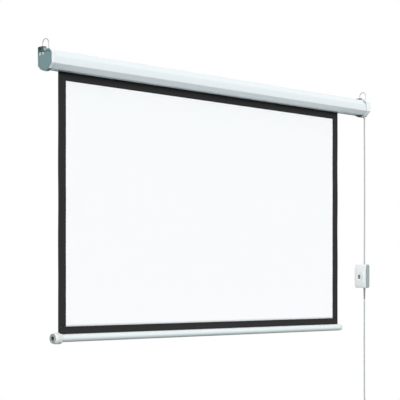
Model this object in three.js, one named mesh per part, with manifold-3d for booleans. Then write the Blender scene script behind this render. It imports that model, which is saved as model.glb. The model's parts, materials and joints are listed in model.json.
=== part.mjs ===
// Motorized projection screen, in millimetres.
// X runs along the casing, the screen faces -Y, and +Z is up. The origin is the middle of the
// casing's flat back, which lies against the wall. The screen is modelled fully lowered.

import * as THREE from "three";
import { mergeVertices } from "three/addons/utils/BufferGeometryUtils.js";
import Module from "manifold-3d";

const wasm = await Module();
wasm.setup();

// Driving sizes
const whiteWidth = 1700;
const whiteHeight = 956;
const sideBorder = 40;
const bottomBorder = 29;
const blackBelowCasing = 32.5;
const idlerEndRoom = 85;
const motorEndRoom = 185;
const sheetThickness = 0.45;
const meetingGap = 0.3;
const cutOverrun = 2;

// Casing: an octagonal shell with a slot in its underside, depths counted back from its front
const casingDepth = 78;
const casingHeight = 75;
const casingWall = 1.3;
const frontTopChamfer = 27;
const frontLowChamfer = 19.5;
const rearTopChamfer = 16;
const rearLowChamfer = 14;
const slotFrontDepth = 51.5;
const slotWidth = 11;
const slotLipHeight = 6;
const sheetDepth = 57.5;

// End caps
const leftCapWidth = 16;
const rightCapWidth = 33;
const capProud = 3;
const capDrop = 4;
const capLip = 1.5;
const capBelly = 9.5;
const bellyFront = 30;
const bellyRear = 43;
const capFrontTop = 60;
const frontHornFront = 12;
const frontHornRear = 25;
const frontHornHeight = 74.5;
const notchFrontDepth = 31;
const notchRearDepth = 42;
const notchHeight = 70;
const rearHornFront = 46;
const rearHornHeight = 86;
const rearHornChamfer = 4;
const rightShelfHeight = 77;
const capRim = 3;
const recessTopHeight = 66;
const leftRecess = 11;
const rightRecess = 6;
const capWeb = 5;
const spigotWall = 2.2;
const spigotLength = 14;
const hornPocketFront = 60;
const hornPocketRear = 73;
const hornPocketTop = 82;
const hornPocketFloor = 69;
const hornPocketDepth = 9;
const pocketRib = 2;
const ribTopHeight = 58;
const coverSink = 3;
const hubRadius = 11;
const hubLength = 12;
const capScrewFront = 51;
const capScrewRear = 68.5;
const capScrewHeight = 60;
const capScrewShank = 1.8;
const capScrewHead = 3.6;
const capScrewHeadHeight = 2.2;
const capScrewGrip = 4;
const crossArmShare = 0.6;
const crossSlitShare = 0.14;
const crossDepthShare = 0.5;

// Carrying bails
const bailWire = 1.5;
const bailFrontDepth = 20;
const bailRearDepth = 55;
const bailApexHeight = 115;
const bailPivotHeight = 70;
const bailFoot = 6;
const leftBailInset = 4.5;
const rightBailInset = 8;
const bailClearance = 0.4;
const bailArchRoom = 1.2;
const bailArchSteps = 16;
const bailSides = 10;

// Roller, its idler and its motor
const rollerRadius = 20;
const rollerWall = 1.2;
const rollerLeftGap = 24;
const rollerRightGap = 24;
const wrapThickness = 0.5;
const plugFlange = 3;
const plugSleeve = 24;
const flangeLip = 1;
const idlerPinRadius = 6;
const idlerPinReach = 22;
const idlerPinHeadRadius = 9;
const idlerPinHead = 3;
const motorRadius = 17.5;
const motorLength = 420;
const motorHeadRadius = 22;
const motorHeadGap = 2;
const motorStub = 12;
const motorStubPlay = 0.5;
const crownFlange = 4;
const crownSleeve = 12;
const shaftAcross = 6;
const shaftLength = 30;
const adapterLength = 22;
const adapterSetback = 5;
const limitScrewRadius = 3;
const limitScrewLength = 6;
const limitScrewSpacing = 12;
const limitScrewDepth = 36;
const limitScrewDrive = 1.3;
const limitScrewDriveDepth = 2.5;
const limitScrewProud = 0.6;

// Bottom bar
const barRadius = 15.5;
const barWall = 1.5;
const barSlit = 2.4;
const splineRadius = 2.2;
const splineDrop = 7;
const weightRadius = 7;
const weightEndGap = 40;
const knobRadius = 22.5;
const knobFaceRadius = 19;
const knobFlare = 11;
const knobLength = 26;
const knobSleeve = 10;
const knobEdge = 1.5;
const knobLip = 1.2;
const knobHoleRadius = 7.5;
const knobHoleDepth = 12;
const knobSpigot = 18;
const knobOffset = 2;
const rightPlugReach = 25;
const rightPlugDome = 9;
const rightPlugRim = 14;

// Hanging switch box, turned about the cable
const boxWidth = 78;
const boxHeight = 114;
const boxDepth = 27;
const boxFrontSag = 5;
const boxBackSag = 4;
const boxFlatShare = 0.46;
const boxCurveShare = 0.75;
const boxPlate = 3.5;
const boxWall = 2.2;
const boxCorner = 6;
const boxBevel = 2;
const boxTurn = -99.6;
const boxCableAside = 14.9;
const boxCableBehind = 1.1;
const boxTopZ = -767;
const bezelRadius = 23;
const bezelProud = 1.6;
const windowWidth = 14.2;
const windowHeight = 18.5;
const windowCorner = 1.5;
const rockerAside = -6;
const rockerDrop = 3;
const rockerWidth = 13;
const rockerHeight = 16.5;
const rockerTip = 4.6;
const rockerDip = 3.3;
const rockerBack = 3.2;
const rockerBackShare = 0.67;
const rockerAxisBack = 1.6;
const mechanismWidth = 21;
const mechanismHeight = 38;
const mechanismDepth = 17;
const mechanismPocket = 6;
const boxScrewSpacing = 88;
const boxScrewShank = 1.5;
const boxScrewHead = 3;
const boxScrewHeadHeight = 1.8;
const boxScrewSink = 3.2;
const boxBossRadius = 3.6;

// Cable, its reliefs, coil and plug
const cableDiameter = 6.6;
const cableDepth = 21;
const cableInset = 16.6;
const cableSides = 8;
const caseReliefTop = 4.6;
const caseReliefTip = 4;
const caseReliefLength = 20;
const caseReliefFlange = 2;
const caseReliefFlangeRadius = 5.4;
const boxInletRadius = 5;
const boxInletRise = 6;
const boxReliefTop = 5.2;
const boxReliefTip = 3.8;
const boxReliefLength = 55;
const reliefFlange = 1;
const coilRadius = 36;
const coilTurns = 5;
const coilPitch = 7.2;
const coilCentreZ = -1530;
const coilSteps = 24;
const coilSides = 6;
const tieAngle = 45;
const tieTurnShare = 9 / 8;
const tieWidth = 7;
const tieThickness = 1.2;
const tiePlay = 0.5;
const tailLength = 42;
const plugReliefLength = 26;
const plugReliefTip = 4;
const plugReliefTop = 6.5;
const plugRadius = 18.5;
const plugLength = 34;
const plugNeck = 9;
const plugShoulder = 8;
const plugFaceChamfer = 1.5;
const pinRadius = 2.4;
const pinLength = 19;
const pinSpacing = 19;
const pinSeat = 4;

// Worked out from the driving sizes: the sheet's width and the room at its two ends give the length
const sheetWidth = whiteWidth + 2 * sideBorder;
const overallLength = sheetWidth + idlerEndRoom + motorEndRoom;
const leftFace = -overallLength / 2;
const rightFace = overallLength / 2;
const casingLeft = leftFace + leftCapWidth + meetingGap;
const casingRight = rightFace - rightCapWidth - meetingGap;
const sheetLeft = leftFace + idlerEndRoom;
const sheetRight = rightFace - motorEndRoom;
const sheetY = sheetDepth - casingDepth;
const undersideZ = -casingHeight / 2;
const whiteTopZ = undersideZ - blackBelowCasing;
const whiteBottomZ = whiteTopZ - whiteHeight;
const barTopZ = whiteBottomZ - bottomBorder;
const barZ = barTopZ - barRadius;
const wrapRadius = rollerRadius + meetingGap + wrapThickness;
const rollerY = sheetY - sheetThickness / 2 - meetingGap - wrapRadius;
const rollerLeft = leftFace + leftCapWidth + rollerLeftGap;
const rollerRight = rightFace - rightCapWidth - rollerRightGap;
const cableX = rightFace - cableInset;
const cableY = cableDepth - casingDepth;
const cableRadius = cableDiameter / 2;

// Paints and plastics, as plain colours
const white = { color: 0xe9edee, roughness: 0.45, metalness: 0 };
const grey = { color: 0x8b9a99, roughness: 0.6, metalness: 0 };
const darkGrey = { color: 0x3b3f41, roughness: 0.5, metalness: 0 };
const black = { color: 0x141414, roughness: 0.8, metalness: 0 };
const steel = { color: 0xb9bdc0, roughness: 0.3, metalness: 0.9 };
const cableGrey = { color: 0xa9adaf, roughness: 0.55, metalness: 0 };

function piece(name, geometry, finish) {
  const mesh = new THREE.Mesh(geometry, new THREE.MeshStandardMaterial(finish));
  mesh.name = name;
  return mesh;
}

function place(mesh, x, y, z) {
  mesh.position.set(x, y, z);
  return mesh;
}

// Joining, cutting and intersecting of closed shapes
function solid(geometry) {
  const bare = geometry.clone();
  bare.deleteAttribute("normal");
  bare.deleteAttribute("uv");
  const merged = mergeVertices(bare);
  const vertProperties = new Float32Array(merged.attributes.position.array);
  const triVerts = new Uint32Array(merged.index.array);
  return new wasm.Manifold(new wasm.Mesh({ numProp: 3, vertProperties, triVerts }));
}

function surface(manifold) {
  const mesh = manifold.getMesh();
  const geometry = new THREE.BufferGeometry();
  geometry.setAttribute("position", new THREE.BufferAttribute(mesh.vertProperties, 3));
  geometry.setIndex(new THREE.BufferAttribute(mesh.triVerts, 1));
  geometry.computeVertexNormals();
  return geometry;
}

function join(...geometries) {
  return surface(geometries.map(solid).reduce((sum, next) => sum.add(next)));
}

function cut(base, ...tools) {
  return surface(tools.map(solid).reduce((left, tool) => left.subtract(tool), solid(base)));
}

// Basic forms
function common(base, other) {
  return surface(solid(base).intersect(solid(other)));
}

function box(x0, x1, y0, y1, z0, z1) {
  const geometry = new THREE.BoxGeometry(x1 - x0, y1 - y0, z1 - z0);
  return geometry.translate((x0 + x1) / 2, (y0 + y1) / 2, (z0 + z1) / 2);
}

function cylinderX(radius, x0, x1, sides = 32) {
  const geometry = new THREE.CylinderGeometry(radius, radius, x1 - x0, sides);
  return geometry.rotateZ(-Math.PI / 2).translate((x0 + x1) / 2, 0, 0);
}

function cylinderY(radius, y0, y1, sides = 20) {
  const geometry = new THREE.CylinderGeometry(radius, radius, y1 - y0, sides);
  return geometry.translate(0, (y0 + y1) / 2, 0);
}

function cylinderZ(radius, z0, z1, sides = 20) {
  const geometry = new THREE.CylinderGeometry(radius, radius, z1 - z0, sides);
  return geometry.rotateX(Math.PI / 2).translate(0, 0, (z0 + z1) / 2);
}

// A profile of [radius, height] points turned about Z, lowest point first
function turnedZ(profile, sides = 24) {
  const points = profile.map(([radius, height]) => new THREE.Vector2(radius, height));
  return new THREE.LatheGeometry(points, sides).rotateX(Math.PI / 2);
}

// The same, turned about X
function turnedX(profile, sides = 32) {
  return turnedZ(profile, sides).rotateY(Math.PI / 2);
}

// An outline of [y, z] points carried along X
function prismX(outline, x0, x1) {
  const shape = new THREE.Shape(outline.map(([y, z]) => new THREE.Vector2(y, z)));
  const geometry = new THREE.ExtrudeGeometry(shape, { depth: x1 - x0, bevelEnabled: false });
  const turn = new THREE.Matrix4().set(0, 0, 1, x0, 1, 0, 0, 0, 0, 1, 0, 0, 0, 0, 0, 1);
  return geometry.applyMatrix4(turn);
}

// An outline of [x, z] points carried along Y
function prismY(outline, y0, y1, bevel = 0) {
  const shape = new THREE.Shape(outline.map(([x, z]) => new THREE.Vector2(x, z)));
  const depth = y1 - y0 - 2 * bevel;
  const settings = { depth, bevelEnabled: bevel > 0, bevelSegments: 1 };
  settings.bevelSize = bevel;
  settings.bevelThickness = bevel;
  settings.bevelOffset = -bevel;
  const geometry = new THREE.ExtrudeGeometry(shape, settings);
  return geometry.rotateX(Math.PI / 2).translate(0, y1 - bevel, 0);
}

// A convex outline moved inwards by one distance on every side
function inset(outline, distance) {
  const count = outline.length;
  const sides = outline.map(([y, z], i) => {
    const [nextY, nextZ] = outline[(i + 1) % count];
    const length = Math.hypot(nextY - y, nextZ - z);
    const along = [(nextY - y) / length, (nextZ - z) / length];
    return { at: [y - along[1] * distance, z + along[0] * distance], along };
  });
  return sides.map((side, i) => {
    const last = sides[(i + count - 1) % count];
    const cross = last.along[0] * side.along[1] - last.along[1] * side.along[0];
    const dy = side.at[0] - last.at[0];
    const dz = side.at[1] - last.at[1];
    const reach = (dy * side.along[1] - dz * side.along[0]) / cross;
    return [last.at[0] + last.along[0] * reach, last.at[1] + last.along[1] * reach];
  });
}

function roundedRectangle(width, height, radius, steps = 3) {
  const corners = [[1, 1], [-1, 1], [-1, -1], [1, -1]];
  return corners.flatMap(([sx, sz], corner) => {
    const centre = [sx * (width / 2 - radius), sz * (height / 2 - radius)];
    return Array.from({ length: steps + 1 }, (_, i) => {
      const angle = (corner + i / steps) * Math.PI / 2;
      return [centre[0] + radius * Math.cos(angle), centre[1] + radius * Math.sin(angle)];
    });
  });
}

// A round tube along a smooth curve through points
function tube(points, radius, sides, steps) {
  const path = new THREE.CatmullRomCurve3(points.map((point) => new THREE.Vector3(...point)));
  return tubeOn(path, radius, sides, steps);
}

function tubeOn(path, radius, sides, steps) {
  const ring = Array.from({ length: sides }, (_, i) => {
    const angle = i / sides * Math.PI * 2;
    return new THREE.Vector2(radius * Math.cos(angle), radius * Math.sin(angle));
  });
  const settings = { extrudePath: path, steps, bevelEnabled: false };
  return new THREE.ExtrudeGeometry(new THREE.Shape(ring), settings);
}

// Depth behind the casing's front and height above its underside, as Y and Z
function spot(depth, height) {
  return [depth - casingDepth, height - casingHeight / 2];
}

const casingOutline = [
  spot(frontLowChamfer, 0),
  spot(casingDepth - rearLowChamfer, 0),
  spot(casingDepth, rearLowChamfer),
  spot(casingDepth, casingHeight - rearTopChamfer),
  spot(casingDepth - rearTopChamfer, casingHeight),
  spot(frontTopChamfer, casingHeight),
  spot(0, casingHeight - frontTopChamfer),
  spot(0, frontLowChamfer),
];

// The casing: wall, slot and the two lips turned up along the slot
function casing() {
  const x0 = casingLeft;
  const x1 = casingRight;
  const [front, bottom] = spot(slotFrontDepth, 0);
  const rear = front + slotWidth;
  const inside = prismX(inset(casingOutline, casingWall), x0 - cutOverrun, x1 + cutOverrun);
  const slotTop = bottom + casingWall * 2;
  const slot = box(x0 - cutOverrun, x1 + cutOverrun, front, rear, bottom - cutOverrun, slotTop);
  const shell = cut(prismX(casingOutline, x0, x1), inside, slot);
  const lipTop = bottom + slotLipHeight;
  const frontLip = box(x0, x1, front - casingWall, front, bottom, lipTop);
  const rearLip = box(x0, x1, rear, rear + casingWall, bottom, lipTop);
  return piece("casing_shell", join(shell, frontLip, rearLip), white);
}

const capOutline = [
  spot(frontLowChamfer - capProud, -capLip),
  spot(bellyFront, -capBelly),
  spot(bellyRear, -capBelly),
  spot(casingDepth - rearLowChamfer, -capLip),
  spot(casingDepth, rearLowChamfer - capDrop),
  spot(casingDepth, rearHornHeight - rearHornChamfer),
  spot(casingDepth - rearHornChamfer, rearHornHeight),
  spot(rearHornFront, rearHornHeight),
  spot(notchRearDepth, notchHeight),
  spot(notchFrontDepth, notchHeight),
  spot(frontHornRear, frontHornHeight),
  spot(frontHornFront, frontHornHeight),
  spot(-capProud, capFrontTop),
  spot(-capProud, frontLowChamfer),
];

// The sunk face of a cap, one rim inside its outline and flat below the horns
function recessOutline(play) {
  const rim = capRim + play;
  const top = recessTopHeight - play;
  const frontSlope = (frontHornHeight - capFrontTop) / (frontHornFront + capProud);
  const frontTop = capFrontTop - rim / 2;
  const topFront = (top - frontTop) / frontSlope - capProud + rim;
  return [
    spot(frontLowChamfer - capProud + rim / 2, rim - capLip),
    spot(bellyFront + rim / 2, rim - capBelly),
    spot(bellyRear - rim / 2, rim - capBelly),
    spot(casingDepth - rearLowChamfer - rim / 2, rim - capLip),
    spot(casingDepth - rim, rearLowChamfer - capDrop + rim / 2),
    spot(casingDepth - rim, top),
    spot(topFront, top),
    spot(-capProud + rim, frontTop),
    spot(-capProud + rim, frontLowChamfer + rim / 2),
  ];
}

// A cap is built with its outer face at x = 0 and the casing towards +X
function capBody(width, recess, bailInset) {
  const block = prismX(capOutline, 0, width);
  const sunk = prismX(recessOutline(0), -cutOverrun, recess);
  const pocketFront = recess + capWeb;
  const spigotOuter = inset(casingOutline, casingWall + meetingGap);
  const spigotInner = inset(casingOutline, casingWall + meetingGap + spigotWall);
  const spigotEnd = width + spigotLength;
  const spigot = prismX(spigotOuter, pocketFront, spigotEnd);
  const hollow = prismX(spigotInner, pocketFront, spigotEnd + cutOverrun);
  const [slotFront, slotBottom] = spot(slotFrontDepth - casingWall - meetingGap, 0);
  const slotRear = slotFront + slotWidth + 2 * (casingWall + meetingGap);
  const slotTop = slotBottom + slotLipHeight + meetingGap;
  const slot = box(width, spigotEnd + cutOverrun, slotFront, slotRear, slotBottom - cutOverrun, slotTop);
  const [hornFront, hornFloor] = spot(hornPocketFront, hornPocketFloor);
  const [hornRear, hornTop] = spot(hornPocketRear, hornPocketTop);
  const hornPocket = box(-cutOverrun, hornPocketDepth, hornFront, hornRear, hornFloor, hornTop);
  const tools = [sunk, hollow, slot, hornPocket, ...bailCuts(width, bailInset), ...capScrewHoles(recess)];
  return cut(join(block, spigot), ...tools);
}

// Two slots for the bail's legs, open towards the casing and wider on the side to which the arch
// narrows, and the holes for its feet
function bailCuts(width, bailInset) {
  const play = bailWire + bailClearance;
  const [, pivotZ] = spot(0, bailPivotHeight);
  const top = pivotZ + rearHornHeight;
  return [[bailFrontDepth, 1], [bailRearDepth, -1]].flatMap(([depth, side]) => {
    const [legY] = spot(depth, 0);
    const footEnd = legY + side * (bailFoot + bailClearance);
    const walls = [legY - side * play, legY + side * (play + bailArchRoom)].sort((a, b) => a - b);
    const leg = box(bailInset - play, width + cutOverrun, ...walls, pivotZ - play, top);
    const foot = cylinderY(play, Math.min(legY, footEnd), Math.max(legY, footEnd), 16);
    return [leg, foot.translate(bailInset, 0, pivotZ)];
  });
}

function capScrewSpots() {
  return [capScrewFront, capScrewRear].map((depth) => spot(depth, capScrewHeight));
}

function capScrewHoles(recess) {
  return capScrewSpots().map(([y, z]) => {
    const hole = cylinderX(capScrewShank + meetingGap, -cutOverrun, recess + capWeb + cutOverrun, 16);
    return hole.translate(0, y, z);
  });
}

// The grey cover that fills the recess up to a small step, with the rib between the two screws
function coverPlate(recess) {
  const back = recess - meetingGap;
  const plate = prismX(recessOutline(meetingGap), coverSink, back);
  const [ribY, ribZ] = spot((capScrewFront + capScrewRear) / 2, ribTopHeight - 2 * capScrewHead);
  const ribHalf = pocketRib / 2;
  const ribTop = spot(0, recessTopHeight - meetingGap)[1];
  const rib = box(coverSink - pocketRib, back, ribY - ribHalf, ribY + ribHalf, ribZ, ribTop);
  return cut(join(plate, rib), ...capScrewHoles(recess));
}

function crossHeadScrew(shank, length, head, headHeight) {
  const body = join(cylinderX(head, -headHeight, 0, 20), cylinderX(shank, -headHeight / 2, length, 12));
  const arm = head * crossArmShare;
  const slit = head * crossSlitShare;
  const depth = headHeight * crossDepthShare;
  const across = box(-headHeight - cutOverrun, -headHeight + depth, -arm, arm, -slit, slit);
  const upright = box(-headHeight - cutOverrun, -headHeight + depth, -slit, slit, -arm, arm);
  return cut(body, across, upright);
}

// The wire bail, an arch on two legs whose feet turn in towards each other
function bail() {
  const [frontY, pivotZ] = spot(bailFrontDepth, bailPivotHeight);
  const [rearY] = spot(bailRearDepth, 0);
  const archRadius = (rearY - frontY) / 2;
  const shoulder = spot(0, bailApexHeight)[1] - pivotZ - archRadius - bailWire;
  const middleY = (frontY + rearY) / 2;
  const archPoints = Array.from({ length: bailArchSteps + 1 }, (_, i) => {
    const angle = i / bailArchSteps * Math.PI;
    return [0, -archRadius * Math.cos(angle), archRadius * Math.sin(angle)];
  });
  const parts = [tube(archPoints, bailWire, bailSides, bailArchSteps)];
  for (const side of [-1, 1]) {
    const legY = side * archRadius;
    parts.push(cylinderZ(bailWire, -shoulder, 0, bailSides).translate(0, legY, 0));
    parts.push(new THREE.SphereGeometry(bailWire, bailSides, bailSides / 2).translate(0, legY, -shoulder));
    const footEnd = legY - side * bailFoot;
    const foot = cylinderY(bailWire, Math.min(legY, footEnd), Math.max(legY, footEnd), bailSides);
    parts.push(foot.translate(0, 0, -shoulder));
  }
  return join(...parts).translate(0, middleY, pivotZ + shoulder);
}

// Left end: cap, cover, screws, bail and the pin that the roller idles on
function leftEnd() {
  const end = new THREE.Group();
  end.position.x = leftFace;
  const webBack = leftRecess + capWeb;
  const hub = cylinderX(hubRadius, webBack - cutOverrun, webBack + hubLength).translate(0, rollerY, 0);
  const boreEnd = webBack + hubLength + cutOverrun;
  const bore = cylinderX(idlerPinRadius + meetingGap, leftRecess - cutOverrun, boreEnd);
  const cap = capBody(leftCapWidth, leftRecess, leftBailInset);
  const body = cut(join(cap, hub), bore.translate(0, rollerY, 0));
  end.add(piece("left_end_cap", body, white));
  end.add(piece("left_cap_cover", coverPlate(leftRecess), grey));
  end.add(...capScrews("left_cap_screw", leftRecess));
  end.add(place(piece("left_bail", bail(), steel), leftBailInset, 0, 0));
  const pinEnd = webBack + hubLength + idlerPinReach;
  const pinStart = leftRecess + meetingGap;
  const shoulderFrom = webBack + hubLength + meetingGap;
  const pin = cylinderX(idlerPinRadius, pinStart, pinEnd);
  const shoulder = cylinderX(idlerPinHeadRadius, shoulderFrom, shoulderFrom + idlerPinHead);
  end.add(place(piece("idler_pin", join(pin, shoulder), steel), 0, rollerY, 0));
  return end;
}

function capScrews(name, recess) {
  const length = recess + capScrewGrip - coverSink;
  return capScrewSpots().map(([y, z], i) => {
    const screw = crossHeadScrew(capScrewShank, length, capScrewHead, capScrewHeadHeight);
    return place(piece(`${name}_${i + 1}`, screw, steel), coverSink - meetingGap, y, z);
  });
}

// The right end is built like the left one and mirrored along X
function flipX(geometry) {
  const flipped = solid(geometry).mirror([1, 0, 0]);
  return surface(flipped);
}

// The right cap is wider, and behind its notch only the outer part stands up as a horn
function rightEnd() {
  const end = new THREE.Group();
  end.position.x = rightFace;
  const stubHalf = motorStub / 2 + meetingGap;
  const socketEnd = rightRecess + capWeb + cutOverrun;
  const socket = box(0, socketEnd, rollerY - stubHalf, rollerY + stubHalf, -stubHalf, stubHalf);
  const bottom = spot(0, -capBelly)[1];
  const gland = cylinderZ(caseReliefTop + meetingGap, bottom - cutOverrun, bottom + casingHeight / 3);
  const floor = spot(0, casingWall + meetingGap + spigotWall)[1];
  const seat = cylinderZ(caseReliefFlangeRadius + meetingGap, floor, floor + casingHeight / 4);
  const holes = [socket, gland.translate(cableInset, cableY, 0), seat.translate(cableInset, cableY, 0)];
  for (const [x, y] of limitScrewSpots()) {
    const top = bottom + limitScrewLength - limitScrewProud + meetingGap;
    holes.push(cylinderZ(limitScrewRadius + meetingGap, bottom - cutOverrun, top, 16).translate(-x, y, 0));
  }
  const [shelfFront, shelf] = spot(notchRearDepth, rightShelfHeight);
  holes.push(box(leftCapWidth, rightCapWidth + cutOverrun, shelfFront, cutOverrun, shelf, casingHeight));
  const body = cut(capBody(rightCapWidth, rightRecess, rightBailInset), ...holes);
  end.add(piece("right_end_cap", flipX(body), white));
  end.add(piece("right_cap_cover", flipX(coverPlate(rightRecess)), grey));
  for (const screw of capScrews("right_cap_screw", rightRecess)) {
    screw.rotation.z = Math.PI;
    screw.position.x *= -1;
    end.add(screw);
  }
  end.add(place(piece("right_bail", bail(), steel), -rightBailInset, 0, 0));
  for (const [i, name] of ["limit_screw_up", "limit_screw_down"].entries()) {
    const [x, y] = limitScrewSpots()[i];
    end.add(place(piece(name, limitScrew(), grey), x, y, bottom - limitScrewProud));
  }
  return end;
}

// The two end-stop adjusters stand in the right cap's underside
function limitScrewSpots() {
  const middle = -rightCapWidth / 2;
  const [y] = spot(limitScrewDepth, 0);
  return [[middle - limitScrewSpacing / 2, y], [middle + limitScrewSpacing / 2, y]];
}

function limitScrew() {
  const body = cylinderZ(limitScrewRadius, 0, limitScrewLength, 16);
  const drive = cylinderZ(limitScrewDrive, -cutOverrun, limitScrewDriveDepth, 6);
  return cut(body, drive);
}

// Everything that turns with the roller
function roller() {
  const group = new THREE.Group();
  group.position.set(0, rollerY, 0);
  const inner = rollerRadius - rollerWall;
  const length = rollerRight - rollerLeft;
  const tubeBore = cylinderX(inner, -cutOverrun, length + cutOverrun);
  const tubeBody = cut(cylinderX(rollerRadius, 0, length), tubeBore);
  group.add(place(piece("roller_tube", tubeBody, steel), rollerLeft, 0, 0));
  const wrapInner = rollerRadius + meetingGap;
  const wrapCore = cylinderX(wrapInner, sheetLeft - cutOverrun, sheetRight + cutOverrun);
  group.add(piece("fabric_wrap", cut(cylinderX(wrapRadius, sheetLeft, sheetRight), wrapCore), black));
  const flange = cylinderX(rollerRadius + flangeLip, -plugFlange - meetingGap, -meetingGap);
  const sleeve = cylinderX(inner - meetingGap, -plugFlange, plugSleeve);
  const bore = cylinderX(idlerPinRadius + meetingGap, -plugFlange - cutOverrun, plugSleeve + cutOverrun);
  group.add(place(piece("idler_plug", cut(join(flange, sleeve), bore), darkGrey), rollerLeft, 0, 0));
  group.add(place(piece("limit_crown", crown(inner), darkGrey), rollerRight, 0, 0));
  const shaftStart = motorStart() - meetingGap - shaftLength;
  const shaft = cylinderX(shaftAcross, 0, shaftLength, 6);
  group.add(place(piece("motor_output_shaft", shaft, steel), shaftStart, 0, 0));
  const adapter = cylinderX(inner - meetingGap, 0, adapterLength);
  const drive = cylinderX(shaftAcross + meetingGap, -cutOverrun, adapterLength + cutOverrun, 6);
  group.add(place(piece("drive_adapter", cut(adapter, drive), darkGrey), shaftStart + adapterSetback, 0, 0));
  return group;
}

function crown(inner) {
  const flange = cylinderX(rollerRadius + flangeLip, meetingGap, crownFlange);
  const sleeve = cylinderX(inner - meetingGap, -crownSleeve, crownFlange);
  const bore = cylinderX(motorRadius + meetingGap, -crownSleeve - cutOverrun, crownFlange + cutOverrun);
  return cut(join(flange, sleeve), bore);
}

function motorHeadStart() {
  return rollerRight + crownFlange + motorHeadGap;
}

function motorStart() {
  return motorHeadStart() - motorLength;
}

// The fixed part of the tubular motor, keyed into the right cap by its square stub
function motor() {
  const group = new THREE.Group();
  group.position.set(0, rollerY, 0);
  const headStart = motorHeadStart();
  const webFront = rightFace - rightRecess - capWeb;
  const body = cylinderX(motorRadius, motorStart(), headStart - meetingGap);
  group.add(piece("motor_tube", body, steel));
  const head = cylinderX(motorHeadRadius, headStart, webFront - motorStubPlay);
  const half = motorStub / 2;
  const stub = box(webFront - motorStub, rightFace - rightRecess - meetingGap, -half, half, -half, half);
  group.add(piece("motor_head", join(head, stub), darkGrey));
  return group;
}

// The sheet: a white field in a black surround, and the bottom border that the bar carries
function screen() {
  const group = new THREE.Group();
  group.position.set(0, sheetY, 0);
  const half = sheetThickness / 2;
  const whiteLeft = sheetLeft + sideBorder;
  const whiteRight = sheetRight - sideBorder;
  const fieldLeft = whiteLeft + meetingGap;
  const fieldRight = whiteRight - meetingGap;
  const field = box(fieldLeft, fieldRight, -half, half, whiteBottomZ + meetingGap, whiteTopZ - meetingGap);
  group.add(piece("viewing_fabric", field, white));
  const surround = [
    [sheetLeft, whiteBottomZ + meetingGap],
    [whiteLeft, whiteBottomZ + meetingGap],
    [whiteLeft, whiteTopZ],
    [whiteRight, whiteTopZ],
    [whiteRight, whiteBottomZ + meetingGap],
    [sheetRight, whiteBottomZ + meetingGap],
    [sheetRight, 0],
    [sheetLeft, 0],
  ];
  group.add(piece("black_masking", prismY(surround, -half, half), black));
  const splineZ = barTopZ - splineDrop;
  const strip = box(sheetLeft, sheetRight, -half, half, splineZ + splineRadius + meetingGap, whiteBottomZ);
  group.add(piece("bottom_border", strip, black));
  const spline = cylinderX(splineRadius, sheetLeft, sheetRight, 12);
  group.add(place(piece("fabric_spline", spline, grey), 0, 0, splineZ));
  return group;
}

// The bottom bar: a slit tube with a weight inside, a pull knob on the left and a plug on the right
function bottomBar() {
  const group = new THREE.Group();
  group.position.set(0, sheetY, barZ);
  const from = sheetLeft - knobOffset + meetingGap;
  const to = sheetRight + knobOffset;
  const inner = barRadius - barWall;
  const bore = cylinderX(inner, from - cutOverrun, to + cutOverrun, 36);
  const slit = box(from - cutOverrun, to + cutOverrun, -barSlit / 2, barSlit / 2, 0, barRadius + cutOverrun);
  group.add(piece("bottom_bar", cut(cylinderX(barRadius, from, to, 36), bore, slit), white));
  const weightZ = meetingGap + weightRadius - inner;
  const weight = cylinderX(weightRadius, from + weightEndGap, to - weightEndGap, 24);
  group.add(place(piece("weight_rod", weight, steel), 0, 0, weightZ));
  group.add(place(piece("pull_knob", pullKnob(inner), white), from - meetingGap, 0, 0));
  group.add(place(piece("bar_end_plug", endPlug(inner), white), to + meetingGap, 0, 0));
  return group;
}

// The knob flares from its outer face at -knobLength to a sleeve around the bar's end. On top the
// sleeve is slit for the cloth and cut down to a thin lip. Its spigot points into the bar.
function pullKnob(inner) {
  const spigotRadius = splineClear(inner);
  const boreRadius = barRadius + meetingGap;
  const profile = [
    [0, -knobLength],
    [knobFaceRadius - knobEdge, -knobLength],
    [knobFaceRadius, knobEdge - knobLength],
    [knobRadius, knobFlare - knobLength],
    [knobRadius, knobSleeve - knobEdge],
    [knobRadius - knobEdge, knobSleeve],
    [boreRadius, knobSleeve],
    [boreRadius, 0],
    [spigotRadius, 0],
    [spigotRadius, knobSpigot],
    [0, knobSpigot],
  ];
  const hole = cylinderX(knobHoleRadius, -knobLength - cutOverrun, knobHoleDepth - knobLength, 24);
  const [openFrom, openTo] = [knobOffset - meetingGap, knobSleeve + cutOverrun];
  const lipTop = boreRadius + knobLip;
  const slit = box(openFrom, openTo, -barSlit / 2, barSlit / 2, inner, lipTop + cutOverrun);
  const notch = box(openFrom, openTo, -knobRadius, knobRadius, lipTop, 2 * knobRadius);
  return cut(turnedX(profile), hole, spigotFlat(inner, knobSpigot), slit, notch);
}

// A spigot inside the bar, whose top is cut flat to clear the spline
function splineClear(inner) {
  return inner - meetingGap;
}

function spigotFlat(inner, length) {
  const top = barRadius - splineDrop - splineRadius - meetingGap;
  return box(meetingGap / 2, length + cutOverrun, -inner, inner, top, inner);
}

function endPlug(inner) {
  const dome = Array.from({ length: 6 }, (_, i) => {
    const angle = i / 5 * Math.PI / 2;
    return [barRadius * Math.cos(angle), rightPlugRim + rightPlugDome * Math.sin(angle)];
  });
  dome[dome.length - 1][0] = 0;
  const profile = [
    [0, -knobSpigot],
    [splineClear(inner), -knobSpigot],
    [splineClear(inner), 0],
    [barRadius, 0],
    ...dome,
  ];
  const reach = rightPlugReach - knobOffset;
  const scaled = profile.map(([r, x]) => [r, x > 0 ? x * reach / (rightPlugRim + rightPlugDome) : x]);
  const flat = spigotFlat(inner, knobSpigot).rotateZ(Math.PI);
  return cut(turnedX(scaled), flat);
}

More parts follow.
